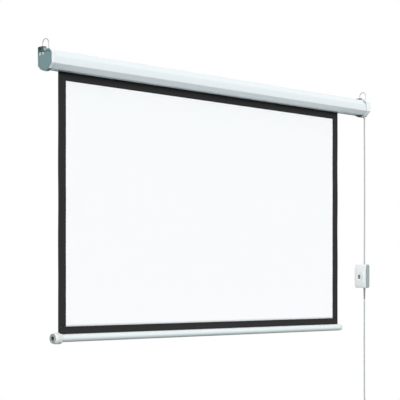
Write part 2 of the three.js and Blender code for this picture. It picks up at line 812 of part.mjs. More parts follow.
// The switch box, modelled facing -Y about its own centre
function switchBox() {
  const group = new THREE.Group();
  const turn = THREE.MathUtils.degToRad(boxTurn);
  const aside = new THREE.Vector2(boxCableAside, boxCableBehind).rotateAround(new THREE.Vector2(), turn);
  group.position.set(cableX - aside.x, cableY - aside.y, boxTopZ - boxHeight / 2);
  group.rotation.z = turn;
  const front = -boxDepth / 2;
  const back = boxDepth / 2;
  group.add(piece("switch_front_plate", frontPlate(front, back), white));
  group.add(piece("switch_back_shell", backShell(front, back), grey));
  const window = roundedRectangle(windowWidth, windowHeight, windowCorner);
  const disc = cylinderY(bezelRadius, front - bezelProud, front - meetingGap, 40);
  const bezel = cut(disc, prismY(window, front - bezelProud - cutOverrun, front + cutOverrun));
  group.add(place(piece("switch_bezel", bezel, white), rockerAside, 0, -rockerDrop));
  const rockerY = front + rockerAxisBack;
  group.add(place(piece("switch_rocker", rocker(), darkGrey), rockerAside, rockerY, -rockerDrop));
  group.add(place(piece("switch_mechanism", mechanism(front), darkGrey), rockerAside, 0, -rockerDrop));
  const reach = boxDepth - boxPlate - boxScrewSink - boxScrewHeadHeight;
  for (const [i, side] of [1, -1].entries()) {
    const screw = crossHeadScrew(boxScrewShank, reach, boxScrewHead, boxScrewHeadHeight);
    const turned = screw.rotateZ(-Math.PI / 2);
    const seat = back - boxScrewSink - boxScrewHeadHeight + meetingGap;
    group.add(place(piece(`switch_screw_${i + 1}`, turned, steel), 0, seat, side * boxScrewSpacing / 2));
  }
  return group;
}

// One face of the box seen from its side: flat in the middle and curving by the sag at both ends
function boxFace(middle, sag) {
  const half = boxHeight / 2;
  const rise = [boxFlatShare, boxCurveShare, 1 + cutOverrun / half].map((share) => {
    const curve = (share - boxFlatShare) / (1 - boxFlatShare);
    return [middle + sag * curve ** 2, share * half];
  });
  const fall = rise.map(([y, z]) => [y, -z]).reverse();
  return [...fall, ...rise];
}

// The part of a form that lies between two such faces
function betweenFaces(form, near, far) {
  return common(form, prismX([...near, ...far.reverse()], -boxWidth, boxWidth));
}

function frontPlate(front, back) {
  const outline = roundedRectangle(boxWidth, boxHeight, boxCorner);
  const block = prismY(outline, front, back, boxBevel);
  const seam = front + boxPlate;
  const plate = betweenFaces(block, boxFace(front, boxFrontSag), boxFace(seam, boxFrontSag));
  const play = 2 * meetingGap;
  const hole = roundedRectangle(mechanismWidth + play, mechanismHeight + play, windowCorner);
  const opening = prismY(hole, front - cutOverrun, seam + cutOverrun);
  const reach = boxDepth - boxPlate - boxWall - boxScrewSink - boxScrewHeadHeight - meetingGap;
  const bosses = atBoxScrews(() => cylinderY(boxBossRadius, seam, seam + reach));
  const bores = atBoxScrews(() => cylinderY(boxScrewShank + meetingGap, seam, seam + boxDepth, 12));
  return cut(join(plate, ...bosses), opening.translate(rockerAside, 0, -rockerDrop), ...bores);
}

// The same form at the upper and the lower screw
function atBoxScrews(form) {
  return [1, -1].map((side) => form().translate(0, 0, side * boxScrewSpacing / 2));
}

function backShell(front, back) {
  const outline = roundedRectangle(boxWidth, boxHeight, boxCorner);
  const block = prismY(outline, front, back, boxBevel);
  const inside = roundedRectangle(boxWidth - 2 * boxWall, boxHeight - 2 * boxWall, boxCorner - boxWall);
  const room = prismY(inside, front, back);
  const hollow = betweenFaces(room, boxFace(front, boxFrontSag), boxFace(back - boxWall, -boxBackSag));
  const cable = [1, -1].map((side) => {
    const z = side * boxHeight / 2;
    const radius = (side > 0 ? boxInletRadius : boxReliefTop) + meetingGap;
    const hole = cylinderZ(radius, z - 2 * boxWall, z + 2 * boxWall);
    return hole.translate(boxCableAside, boxCableBehind, 0);
  });
  const seam = front + boxPlate + meetingGap;
  const headTop = back - boxScrewSink;
  const headSeat = headTop - boxScrewHeadHeight;
  const screws = atBoxScrews(() => cylinderY(boxScrewShank + meetingGap, seam, back, 12));
  const sinks = atBoxScrews(() => cylinderY(boxScrewHead + meetingGap, headSeat, back + cutOverrun));
  const seats = atBoxScrews(() => cylinderY(boxBossRadius + boxWall, seam + boxWall, back));
  const clear = atBoxScrews(() => cylinderY(boxBossRadius + meetingGap, front, headSeat - boxWall));
  const body = join(cut(block, hollow), ...seats);
  const shell = betweenFaces(body, boxFace(seam, boxFrontSag), boxFace(back, -boxBackSag));
  return cut(shell, ...clear, ...cable, ...screws, ...sinks);
}

// The rocker's side view, a shallow V on its pivot, carried along X
function rocker() {
  const tip = rockerHeight / 2;
  const backHalf = tip * rockerBackShare;
  const outline = [
    [-rockerTip, -tip],
    [rockerBack / 2, -tip],
    [rockerBack, -backHalf],
    [rockerBack, backHalf],
    [rockerBack / 2, tip],
    [-rockerTip, tip],
    [-rockerDip, 0],
  ];
  return prismX(outline, -rockerWidth / 2, rockerWidth / 2);
}

function mechanism(front) {
  const outline = roundedRectangle(mechanismWidth, mechanismHeight, windowCorner);
  const block = prismY(outline, front, front + mechanismDepth);
  const pocket = roundedRectangle(windowWidth, windowHeight, windowCorner);
  return cut(block, prismY(pocket, front - cutOverrun, front + mechanismPocket));
}

// Reliefs are turned about the cable, wide at the housing and slim at the tip
function caseRelief() {
  const bottom = spot(0, -capDrop)[1];
  const inside = spot(0, casingWall + meetingGap + spigotWall)[1];
  const profile = [
    [0, bottom - caseReliefLength],
    [caseReliefTip, bottom - caseReliefLength],
    [caseReliefTop, bottom],
    [caseReliefTop, inside + meetingGap],
    [caseReliefFlangeRadius, inside + meetingGap],
    [caseReliefFlangeRadius, inside + meetingGap + caseReliefFlange],
    [0, inside + meetingGap + caseReliefFlange],
  ];
  return turnedZ(profile);
}

function boxRelief(radius, tip, length) {
  const inward = boxWall + meetingGap;
  const profile = [
    [0, -length],
    [tip, -length],
    [radius, 0],
    [radius, inward],
    [radius + reliefFlange, inward],
    [radius + reliefFlange, inward + reliefFlange],
    [0, inward + reliefFlange],
  ];
  return turnedZ(profile);
}

// The coil: two flat layers of a spiral, inwards on the first and outwards on the second
class CoilCurve extends THREE.Curve {
  constructor(straight) {
    super();
    this.straight = straight;
  }

  getPoint(share) {
    const arc = coilTurns * 2 * Math.PI * coilRadius;
    const along = share * (arc + 2 * this.straight) - this.straight;
    if (along < 0) return new THREE.Vector3(coilOuter, 0, -along);
    if (along > arc) return new THREE.Vector3(coilOuter, coilPitch, arc - along);
    const turns = along / arc * coilTurns;
    const half = coilTurns / 2;
    const radius = coilOuter - coilPitch * (half - Math.abs(turns - half));
    const climb = THREE.MathUtils.smoothstep(turns, half - 1 / 4, half + 1 / 4);
    const angle = -turns * 2 * Math.PI;
    return new THREE.Vector3(radius * Math.cos(angle), climb * coilPitch, radius * Math.sin(angle));
  }
}

// Rings of points along the coil, joined side by side and closed at both ends
function coil() {
  const curve = new CoilCurve(cableDiameter);
  const rings = coilTurns * coilSteps + 2;
  const up = new THREE.Vector3(0, 1, 0);
  const centres = Array.from({ length: rings + 1 }, (_, i) => curve.getPoint(i / rings));
  const positions = [];
  for (const [i, centre] of centres.entries()) {
    const ahead = curve.getTangent(i / rings);
    const side = new THREE.Vector3().crossVectors(up, ahead).normalize();
    const rise = new THREE.Vector3().crossVectors(ahead, side);
    for (let k = 0; k < coilSides; k += 1) {
      const angle = (k + 1 / 2) / coilSides * 2 * Math.PI;
      const point = centre.clone();
      point.addScaledVector(side, cableRadius * Math.cos(angle));
      point.addScaledVector(rise, cableRadius * Math.sin(angle));
      positions.push(point.x, point.y, point.z);
    }
  }
  const faces = [];
  for (let i = 0; i < rings; i += 1) {
    for (let k = 0; k < coilSides; k += 1) {
      const next = (k + 1) % coilSides;
      const here = i * coilSides;
      const there = here + coilSides;
      faces.push(here + k, here + next, there + next, here + k, there + next, there + k);
    }
  }
  const last = rings * coilSides;
  for (let k = 1; k < coilSides - 1; k += 1) {
    faces.push(0, k + 1, k, last, last + k, last + k + 1);
  }
  const geometry = new THREE.BufferGeometry();
  geometry.setAttribute("position", new THREE.Float32BufferAttribute(positions, 3));
  geometry.setIndex(faces);
  geometry.computeVertexNormals();
  reportCoilGap(centres);
  return geometry;
}

// The least gap between turns, measured between centre points at least half a turn apart
function reportCoilGap(centres) {
  let least = Infinity;
  for (let i = 0; i < centres.length; i += 1) {
    for (let k = i + coilSteps / 2; k < centres.length; k += 1) {
      least = Math.min(least, centres[i].distanceTo(centres[k]) - cableDiameter);
    }
  }
  console.log(`least gap between the coil's turns: ${least.toFixed(2)} mm`);
}

// A band round the bundle, level with the turns at its own angle
function coilTie() {
  const reach = coilPitch + cableRadius + tiePlay;
  const high = coilPitch / 2 + cableRadius + tiePlay;
  const half = tieWidth / 2;
  const wide = reach + tieThickness;
  const tall = high + tieThickness;
  const outer = box(-wide, wide, -tall, tall, -half, half);
  const inner = box(-reach, reach, -high, high, -half - cutOverrun, half + cutOverrun);
  return cut(outer, inner);
}

function plugBody() {
  const bottom = -plugReliefLength - plugLength;
  const profile = [
    [0, bottom],
    [plugRadius - plugFaceChamfer, bottom],
    [plugRadius, bottom + plugFaceChamfer],
    [plugRadius, plugShoulder + plugFaceChamfer - plugReliefLength - plugLength / 2],
    [plugNeck, -plugReliefLength],
    [plugReliefTop, -plugReliefLength],
    [plugReliefTip, 0],
    [0, 0],
  ];
  const holes = [-1, 1].map((side) => {
    const seat = cylinderZ(pinRadius + meetingGap, bottom - cutOverrun, bottom + pinSeat + meetingGap, 12);
    return seat.translate(side * pinSpacing / 2, 0, 0);
  });
  return cut(turnedZ(profile), ...holes);
}

function plugPin() {
  const end = -pinLength - pinSeat;
  const nose = pinRadius / 2;
  return turnedZ([[0, end], [nose, end], [pinRadius, end + nose], [pinRadius, 0], [0, 0]], 12);
}

// The coil hangs straight below the cord, which joins it at its right side
const coilOuter = coilRadius + coilPitch * coilTurns / 4;

// Points of the cord's hanging runs, chosen by hand, with X and Y counted from the cord's own line
const upperRun = [
  [0, 0, -61.8],
  [0, 0, -82],
  [0.1, 0, -130],
  [0.4, -0.1, -190],
  [0.8, -0.2, -250],
  [1.1, -0.3, -310],
  [1.3, -0.3, -370],
  [1.3, -0.3, -430],
  [1.2, -0.3, -490],
  [0.9, -0.2, -550],
  [0.6, -0.1, -610],
  [0.3, -0.1, -660],
  [0.1, 0, -705],
  [0, 0, -740],
  [0, 0, -760.7],
];
const lowerRun = [
  [0, 0, -936.3],
  [0, 0, -960],
  [-0.1, 0, -1000],
  [-0.3, 0, -1050],
  [-0.5, 0.1, -1100],
  [-0.6, 0.1, -1150],
  [-0.6, 0.1, -1200],
  [-0.5, 0.1, -1250],
  [-0.3, 0, -1300],
  [-0.1, 0, -1350],
  [0, 0, -1390],
  [0.8, 0, -1420],
  [7.1, 0, -1445],
  [19.1, 0, -1465],
  [32.8, 0, -1483],
  [41.6, 0, -1499],
  [44.8, 0, -1511],
  [45, 0, -1517],
  [45, 0, -1523],
];
const tailRun = [
  [45, 7.2, -1536.9],
  [45, 7.2, -1558],
  [45, 7.2, -1578.6],
];

function cord() {
  const group = new THREE.Group();
  group.position.set(cableX, cableY, 0);
  const leadTop = motorHeadUnderside() - meetingGap;
  const leadBottom = spot(0, casingWall + spigotWall + 3 * meetingGap + caseReliefFlange)[1];
  const lead = cylinderZ(cableRadius, leadBottom, leadTop, cableSides + 4);
  group.add(piece("motor_lead", lead, cableGrey));
  group.add(piece("case_cable_relief", caseRelief(), grey));
  group.add(piece("upper_cable", tube(upperRun, cableRadius, cableSides, 34), cableGrey));
  const inlet = boxRelief(boxInletRadius, boxInletRadius - reliefFlange / 2, boxInletRise);
  inlet.rotateX(Math.PI);
  group.add(place(piece("box_inlet_bush", inlet, grey), 0, 0, boxTopZ));
  const relief = boxRelief(boxReliefTop, boxReliefTip, boxReliefLength);
  group.add(place(piece("box_strain_relief", relief, darkGrey), 0, 0, boxTopZ - boxHeight));
  group.add(piece("supply_cable", tube(lowerRun, cableRadius, cableSides, 38), cableGrey));
  group.add(place(piece("cable_coil", coil(), cableGrey), 0, 0, coilCentreZ));
  const tieTurn = THREE.MathUtils.degToRad(tieAngle);
  const tieRadius = coilOuter - coilPitch * tieTurnShare;
  const tieX = tieRadius * Math.cos(tieTurn);
  const tieZ = coilCentreZ + tieRadius * Math.sin(tieTurn);
  const tie = place(piece("coil_tie", coilTie(), black), tieX, coilPitch / 2, tieZ);
  tie.rotation.y = -tieTurn;
  group.add(tie);
  group.add(piece("lead_tail", tube(tailRun, cableRadius, cableSides, 3), cableGrey));
  const plugTop = coilCentreZ - cableDiameter - tailLength - meetingGap;
  group.add(place(piece("plug_body", plugBody(), darkGrey), coilOuter, coilPitch, plugTop));
  const pinTop = plugTop - plugReliefLength - plugLength + pinSeat;
  for (const [i, side] of [-1, 1].entries()) {
    const pin = piece(`plug_pin_${i + 1}`, plugPin(), steel);
    group.add(place(pin, coilOuter + side * pinSpacing / 2, coilPitch, pinTop));
  }
  return group;
}

// The lowest point of the round motor head over the lead
function motorHeadUnderside() {
  const aside = Math.abs(cableY - rollerY) - cableRadius;
  return -Math.sqrt(motorHeadRadius ** 2 - aside ** 2);
}

const model = new THREE.Group();
model.add(casing(), leftEnd(), rightEnd(), roller(), motor(), screen(), bottomBar(), switchBox(), cord());

export default model;
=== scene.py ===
# %% [markdown]
# # A motorized projection screen, fully lowered
# An eight-sided casing hides a roller with a motor inside it. The cloth hangs from the roller down to
# a weighted bar, and a cord with a wall switch hangs at the right end. The frame that is loaded here
# holds plain solids. Each cell below puts a finer surface in place of some of them, or gives them a
# finish, and never moves them.

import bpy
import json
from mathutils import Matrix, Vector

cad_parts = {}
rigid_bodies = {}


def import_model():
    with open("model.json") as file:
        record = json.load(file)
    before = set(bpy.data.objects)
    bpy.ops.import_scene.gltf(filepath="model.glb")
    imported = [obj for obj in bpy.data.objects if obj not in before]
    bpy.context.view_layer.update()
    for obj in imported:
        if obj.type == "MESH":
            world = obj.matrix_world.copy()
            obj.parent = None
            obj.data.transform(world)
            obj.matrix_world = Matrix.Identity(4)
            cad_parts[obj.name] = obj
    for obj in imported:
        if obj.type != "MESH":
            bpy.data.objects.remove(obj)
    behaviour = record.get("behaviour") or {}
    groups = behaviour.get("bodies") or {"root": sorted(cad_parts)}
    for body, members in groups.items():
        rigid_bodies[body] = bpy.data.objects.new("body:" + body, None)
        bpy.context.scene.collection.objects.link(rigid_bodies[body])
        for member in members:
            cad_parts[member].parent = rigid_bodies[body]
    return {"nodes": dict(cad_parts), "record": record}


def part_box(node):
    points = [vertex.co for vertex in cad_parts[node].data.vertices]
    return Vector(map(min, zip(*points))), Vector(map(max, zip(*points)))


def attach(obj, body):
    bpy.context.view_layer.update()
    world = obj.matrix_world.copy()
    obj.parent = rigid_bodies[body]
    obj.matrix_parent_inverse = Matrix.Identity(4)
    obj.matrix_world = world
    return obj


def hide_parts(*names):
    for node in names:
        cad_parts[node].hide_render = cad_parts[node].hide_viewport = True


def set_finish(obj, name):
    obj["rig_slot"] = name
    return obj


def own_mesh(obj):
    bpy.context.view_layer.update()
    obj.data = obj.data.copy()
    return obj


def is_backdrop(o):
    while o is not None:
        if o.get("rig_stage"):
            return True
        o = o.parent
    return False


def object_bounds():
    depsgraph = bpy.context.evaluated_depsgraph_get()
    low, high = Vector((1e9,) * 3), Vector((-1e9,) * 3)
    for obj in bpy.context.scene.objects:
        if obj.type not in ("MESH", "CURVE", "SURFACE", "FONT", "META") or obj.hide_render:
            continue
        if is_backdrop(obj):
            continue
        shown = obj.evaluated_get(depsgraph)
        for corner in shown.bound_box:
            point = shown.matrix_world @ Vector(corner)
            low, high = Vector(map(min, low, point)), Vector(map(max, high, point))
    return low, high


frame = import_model()
cad_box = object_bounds()
print("solids:", len(frame["nodes"]))

# %% [markdown]
# Blender's own modules come next. All lengths are in metres. X runs along the casing, the screen
# faces -Y, and the casing's flat back lies against the wall at Y = 0.

# %% Modules
import json
import math

import bmesh
import bpy
import numpy as np
from mathutils import Vector

MM = 0.001
TURN = 2 * math.pi


def middle_of(node):
    """The middle of a solid's box, as x, y and z."""
    return [(low + high) / 2 for low, high in zip(*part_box(node))]


def in_scene(name, data):
    """A new object in the scene."""
    made = bpy.data.objects.new(name, data)
    bpy.context.scene.collection.objects.link(made)
    return made


def unit(vectors):
    """Each vector over its own length."""
    return vectors / np.linalg.norm(vectors, axis=-1, keepdims=True)


# %% [markdown]
# ## The camera
# The picture is taken from the left at eye level with a long lens, and shifted upwards, so that all
# uprights stay upright. A lens shift does that where tilting the camera would make them lean.

# %% Camera
camera_data = bpy.data.cameras.new("camera")
camera_data.sensor_width = 36
camera_data.lens = 123.3
camera_data.shift_y = 0.205
camera = in_scene("camera", camera_data)
camera.location = (-4.448, -4.0295, -0.8525)
camera.rotation_euler = (math.radians(90), 0, math.radians(-47.1))
bpy.context.scene.camera = camera
print("camera lens:", camera_data.lens)

# %% [markdown]
# ## Surfaces from rings
# Nearly every piece of this object is one closed outline that travels along a path and changes on
# the way: a bar, a wire, a turned knob, a box with rounded edges. So one helper makes a mesh from a
# stack of rings. It could be done with Blender's own primitives, but arrays of points keep every
# size in view, and the grid gives each piece a flat map in metres for free.

# %% From rings to a mesh
CREASE = math.radians(32)
WELD = 1e-7


def quad_corners(rows, columns):
    """The row and the column of each quad's four corners. Both may be one past the last."""
    row, column = np.meshgrid(np.arange(rows), np.arange(columns), indexing="ij")
    pairs = [(row, column), (row, column + 1), (row + 1, column + 1), (row + 1, column)]
    return np.stack([np.stack(pair, axis=-1) for pair in pairs], axis=-2).reshape(-1, 4, 2)


def walked(rings, axis):
    """The mean length walked from row to row (axis 0) or from column to column (axis 1), in metres."""
    steps = np.linalg.norm(np.roll(rings, -1, axis=axis) - rings, axis=2).mean(axis=1 - axis)
    return np.concatenate([[0], np.cumsum(steps)])


def mapped_mesh(name, points, faces, flat):
    """A mesh with its flat map in metres, which has one pair for each corner of each face."""
    mesh = bpy.data.meshes.new(name)
    mesh.from_pydata(points.reshape(-1, 3).tolist(), [], faces)
    mesh.uv_layers.new(name="flat").data.foreach_set("uv", flat.ravel())
    return mesh


def tidied(mesh):
    """Joins points that lie on each other, as at a pole, and turns all faces outwards."""
    grid = bmesh.new()
    grid.from_mesh(mesh)
    bmesh.ops.remove_doubles(grid, verts=grid.verts, dist=WELD)
    if grid.calc_volume(signed=True) < 0:
        bmesh.ops.reverse_faces(grid, faces=grid.faces)
    grid.to_mesh(mesh)
    grid.free()


def placed(name, mesh, body, slot, stands_for=()):
    """A piece from its mesh: smooth but for its creases, riding on its body."""
    mesh.shade_smooth()
    mesh.set_sharp_from_angle(angle=CREASE)
    piece = in_scene(name, mesh)
    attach(piece, body)
    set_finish(piece, slot)
    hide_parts(*stands_for)
    print(f"{name}: {len(mesh.polygons)} faces")
    return piece


def ringed(name, rings, body, slot, stands_for=(), endless=False):
    """A closed piece from rings of points. A quad's corner (row, column) is point row * sides + column.
    The columns always close on themselves, and so do the rings where the piece is endless. Else a
    face closes each end, at the map's corner."""
    rings = np.asarray(rings, float)
    count, sides = rings.shape[:2]
    row, column = np.moveaxis(quad_corners(count if endless else count - 1, sides), -1, 0)
    faces = (row % count * sides + column % sides).tolist()
    flat = np.stack([walked(rings, 0)[row], walked(rings, 1)[column]], axis=-1).reshape(-1, 2)
    if not endless:
        faces += [list(range(sides))[::-1], list(range((count - 1) * sides, count * sides))]
        flat = np.concatenate([flat, np.zeros((2 * sides, 2))])
    mesh = mapped_mesh(name, rings, faces, flat)
    tidied(mesh)
    return placed(name, mesh, body, slot, stands_for)


# %% [markdown]
# ## The cord
# The cord leaves the right end cap, passes the switch box and goes on down. Its free length hangs in
# a neat coil under the view, as it is packed. A Blender curve with a round bevel would do for a
# hanging cord, but a coil needs a formula, so the line is worked out as points and a ring is set
# square to it at each point.

# %% A line and a round tube along it
def smooth_line(points, steps):
    """Catmull-Rom: between two points the line is a cubic that passes both and runs, at each, side
    by side with the chord between that point's two neighbours."""
    points = np.asarray(points, float)
    ends = [2 * points[:1] - points[1:2], points, 2 * points[-1:] - points[-2:-1]]
    padded = np.concatenate(ends)
    a, b, c, d = padded[:-3, None], padded[1:-2, None], padded[2:-1, None], padded[3:, None]
    t = np.linspace(0, 1, steps, endpoint=False)[None, :, None]
    curve = 2 * b + (c - a) * t + (2 * a - 5 * b + 4 * c - d) * t**2 + (3 * b - a - 3 * c + d) * t**3
    return np.concatenate([curve.reshape(-1, 3) / 2, points[-1:]])


def length_of(line):
    """The way along a line of points."""
    return float(np.linalg.norm(np.diff(line, axis=0), axis=1).sum())


def directions(line):
    """The unit direction at each point: the difference of its two neighbours over its length."""
    return unit(np.gradient(line, axis=0))


def tube_rings(line, radius, sides, square_to):
    """Circles round a line: point + radius * (cos a * side + sin a * rise), where side is square to
    both the direction and a fixed axis, and rise is square to the direction and to side."""
    ahead = directions(line)
    side = unit(np.cross(np.asarray(square_to, float), ahead))
    rise = np.cross(ahead, side)
    angle = np.arange(sides) / sides * TURN
    radius = np.broadcast_to(radius, len(line))[:, None, None]
    circle = np.cos(angle)[None, :, None] * side[:, None] + np.sin(angle)[None, :, None] * rise[:, None]
    return line[:, None] + radius * circle


# %% [markdown]
# The cord's line is straight below the cap. Its places are counted from that line, in millimetres:
# across, back and height. A hanging cord keeps a trace of the coil that it came in, so it isn't
# quite straight.

# %% The two hanging runs
cord_x, cord_y = middle_of("motor_lead")[:2]
cord_diameter = 6.6 * MM
upper_run = [
    (0, 0, -61.8), (0, 0, -82), (0.1, 0, -130), (0.4, -0.1, -190), (0.8, -0.2, -250),
    (1.1, -0.3, -310), (1.3, -0.3, -370), (1.3, -0.3, -430), (1.2, -0.3, -490), (0.9, -0.2, -550),
    (0.6, -0.1, -610), (0.3, -0.1, -660), (0.1, 0, -705), (0, 0, -740), (0, 0, -760.7),
]
lower_run = [
    (0, 0, -936.3), (0, 0, -960), (-0.1, 0, -1000), (-0.3, 0, -1050), (-0.5, 0.1, -1100),
    (-0.6, 0.1, -1150), (-0.6, 0.1, -1200), (-0.5, 0.1, -1250), (-0.3, 0, -1300), (-0.1, 0, -1350),
    (0, 0, -1390), (0.8, 0, -1420), (7.1, 0, -1445), (19.1, 0, -1465), (32.8, 0, -1483),
    (41.6, 0, -1499), (44.8, 0, -1511), (45, 0, -1517), (45, 0, -1523),
]
tail_run = [(45, 7.2, -1536.9), (45, 7.2, -1558), (45, 7.2, -1578.6)]


def from_cord_line(points):
    """Places beside the cord's own line, in metres."""
    return np.asarray(points, float) * MM + (cord_x, cord_y, 0)


upper_line = smooth_line(from_cord_line(upper_run), 6)
print("cord's line at", round(cord_x, 4), round(cord_y, 4))

# %% The coil
coil_turns = 5
coil_pitch = 7.2 * MM
coil_outer = 45 * MM
coil_height = -1530 * MM
coil_steps = 40


def coil_line():
    """Two flat layers of a spiral. The radius falls by one pitch a turn to the middle of the coil and
    grows again after it, while the cord climbs one pitch to the second layer within half a turn:
    radius = outer - pitch * (half - |turns - half|), climb = pitch * s * s * (3 - 2 * s)."""
    turns = np.linspace(0, coil_turns, coil_turns * coil_steps + 1)
    half = coil_turns / 2
    radius = coil_outer - coil_pitch * (half - np.abs(turns - half))
    share = np.clip((turns - half) * 2 + 0.5, 0, 1)
    climb = coil_pitch * share**2 * (3 - 2 * share)
    angle = -turns * TURN
    across = radius * np.cos(angle)
    return np.stack([cord_x + across, cord_y + climb, coil_height + radius * np.sin(angle)], axis=1)


lower_line = np.concatenate([
    smooth_line(from_cord_line(lower_run), 5),
    coil_line(),
    smooth_line(from_cord_line(tail_run), 4),
])
print("lower cord:", round(length_of(lower_line), 3), "m")


# %% The cord's two lengths
def cord(name, line, nodes):
    """A round cord along its line, with 14 flats round it."""
    rings = tube_rings(line, cord_diameter / 2, 14, (0, 1, 0))
    return ringed(name, rings, "case", "cable_sheath", nodes)


upper_cord = cord("upper_cord", upper_line, ["upper_cable"])
lower_cord = cord("supply_cord", lower_line, ["supply_cable", "cable_coil", "lead_tail"])

# %% [markdown]
# ## Outlines
# A bent sheet of metal or a moulded edge is never sharp. Each outline is drawn by its corners, and
# the corners are then rounded. A Bevel modifier could do it afterwards, but here the bend's radius
# belongs to the profile itself.

# %% Rounded corners
def rounded(corners, radii, steps=5, closed=True):
    """Each corner gives way to an arc that touches both of its sides. With the unit directions u and
    w to the two neighbours and the angle f between them, the arc starts radius / tan(f / 2) from the
    corner. Its points are the circular blend of its two end arms about its centre."""
    corners = np.asarray(corners, float)
    radii = np.broadcast_to(np.asarray(radii, float), len(corners))
    middle = slice(None) if closed else slice(1, -1)
    back = unit((np.roll(corners, 1, axis=0) - corners)[middle])
    on = unit((np.roll(corners, -1, axis=0) - corners)[middle])
    here, radius = corners[middle], radii[middle, None]
    between = np.arccos(np.clip((back * on).sum(axis=1), -1, 1))[:, None]
    reach = radius / np.tan(between / 2)
    inward = unit(back + on)
    centre = here + inward * radius / np.sin(between / 2)
    first, last = here + back * reach - centre, here + on * reach - centre
    swing = (math.pi - between)[:, None]
    t = np.linspace(0, 1, steps)[None, :, None]
    arm = np.sin((1 - t) * swing) * first[:, None] + np.sin(t * swing) * last[:, None]
    arcs = (centre[:, None] + arm / np.sin(swing)).reshape(-1, 2)
    return arcs if closed else np.concatenate([corners[:1], arcs, corners[-1:]])


def profile(corners, radii, steps=6):
    """An open outline with rounded corners, whose radii are in millimetres."""
    return rounded(corners, MM * np.array(radii), steps, closed=False)


def on_circle(angle, radius):
    """radius * (cos angle, sin angle), one point for each angle."""
    return np.stack([np.cos(angle), np.sin(angle)], axis=1) * np.reshape(radius, (-1, 1))


def thickened(line, thickness):
    """The closed outline round an open line: the line moved half the thickness to one side, and back
    along the other side. At each point the move is along the mean of its two segments' normals."""
    ahead = unit(np.diff(line, axis=0))
    both = np.concatenate([ahead[:1], ahead]) + np.concatenate([ahead, ahead[-1:]])
    both /= (both**2).sum(axis=1, keepdims=True) / 2
    aside = np.stack([-both[:, 1], both[:, 0]], axis=1) * thickness / 2
    return np.concatenate([line + aside, (line - aside)[::-1]])


def along_x(outline, stations):
    """One outline of y and z carried along X, one ring at each station."""
    stations = np.asarray(stations, float)
    rings = np.empty((len(stations), len(outline), 3))
    rings[..., 0] = stations[:, None]
    rings[..., 1:] = outline[None]
    return rings


# %% [markdown]
# ## The casing
# The casing is rolled from thin sheet: eight flats, bends of about 3 mm between them, and a slot in
# the underside whose two edges turn up as lips. One open line runs from lip to lip, is thickened to
# the sheet's gauge, and is carried the whole length. The rear lip stands close to the lowest bend, so
# these two are sharper than the rest.

# %% Casing
casing_low, casing_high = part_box("casing_shell")
sheet_gauge = 1.3 * MM
bend_radius = 3 * MM
casing_depth = casing_high.y - casing_low.y
casing_height = casing_high.z - casing_low.z
slot_front, slot_width, lip_height = 51.5 * MM, 11 * MM, 6 * MM
lip_bend, lowest_bend = 0.2 * MM, 0.4 * MM


def spot(depth, height):
    """A depth behind the casing's front and a height above its underside, as y and z."""
    return np.stack(np.broadcast_arrays(casing_low.y + depth, casing_low.z + height), axis=-1)


def moved_in(corners, distance):
    """A closed outline moved inwards: each corner goes along the sum of its two sides' normals, as
    far as it takes for both sides to have moved by the distance."""
    on = unit(np.roll(corners, -1, axis=0) - corners)
    normal = np.stack([-on[:, 1], on[:, 0]], axis=1)
    both = normal + np.roll(normal, 1, axis=0)
    return corners + both * distance * 2 / (both**2).sum(axis=1, keepdims=True)


casing_corners = MM * np.array([
    (19.5, 0), (64, 0), (78, 14), (78, 59), (62, 75), (27, 75), (0, 48), (0, 19.5),
])
half_gauge = sheet_gauge / 2
flats = moved_in(casing_corners, half_gauge)
lip_front, lip_rear = slot_front - half_gauge, slot_front + slot_width + half_gauge
section = np.array([
    (lip_rear, lip_height), (lip_rear, half_gauge), *flats[1:], flats[0],
    (lip_front, half_gauge), (lip_front, lip_height),
])
bends = np.full(len(section), bend_radius)
bends[1:3] = lip_bend, lowest_bend
bends[-2] = sheet_gauge
casing_line = rounded(spot(*section.T), bends, closed=False)
casing_stations = np.linspace(casing_low.x, casing_high.x, 9)
casing_rings = along_x(thickened(casing_line, sheet_gauge), casing_stations)
ringed("casing", casing_rings, "case", "casing_paint", ["casing_shell"])

# %% [markdown]
# ## The screen cloth
# The sheet is one length of cloth with a matte white field printed into black. It hangs straight,
# with a slight wave at its free side edges. It is a grid of points with a flat map in metres, so
# that the field's edges stay on the cloth when it winds up, and Solidify gives it its thickness.

# %% Sheet
sheet_low, sheet_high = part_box("black_masking")
sheet_width = sheet_high.x - sheet_low.x
sheet_length = sheet_high.z - sheet_low.z
sheet_y = middle_of("black_masking")[1]
cloth_thickness = 0.45 * MM
wave_height, wave_length, wave_reach = 0.7 * MM, 0.31, 0.035
columns, rows = 179, 104


def hanging_sheet():
    """y = wave * exp(-edge / reach) * sin(2 pi z / length) * sin(pi * drop), where edge is the way
    to the nearer side edge and drop goes from 0 at the roller to 1 at the bar, so that both ends
    stay straight."""
    across = np.linspace(0, sheet_width, columns)[None, :]
    drop = np.linspace(0, sheet_length, rows)[:, None]
    edge = np.minimum(across, sheet_width - across)
    wave = wave_height * np.exp(-edge / wave_reach) * np.sin(TURN * drop / wave_length + across)
    wave = wave * np.sin(math.pi * drop / sheet_length)
    places = np.broadcast_arrays(sheet_low.x + across, sheet_y + wave, sheet_high.z - drop)
    flat = np.broadcast_arrays(across, drop + 0 * across)
    return np.stack(places, axis=-1), np.stack(flat, axis=-1)


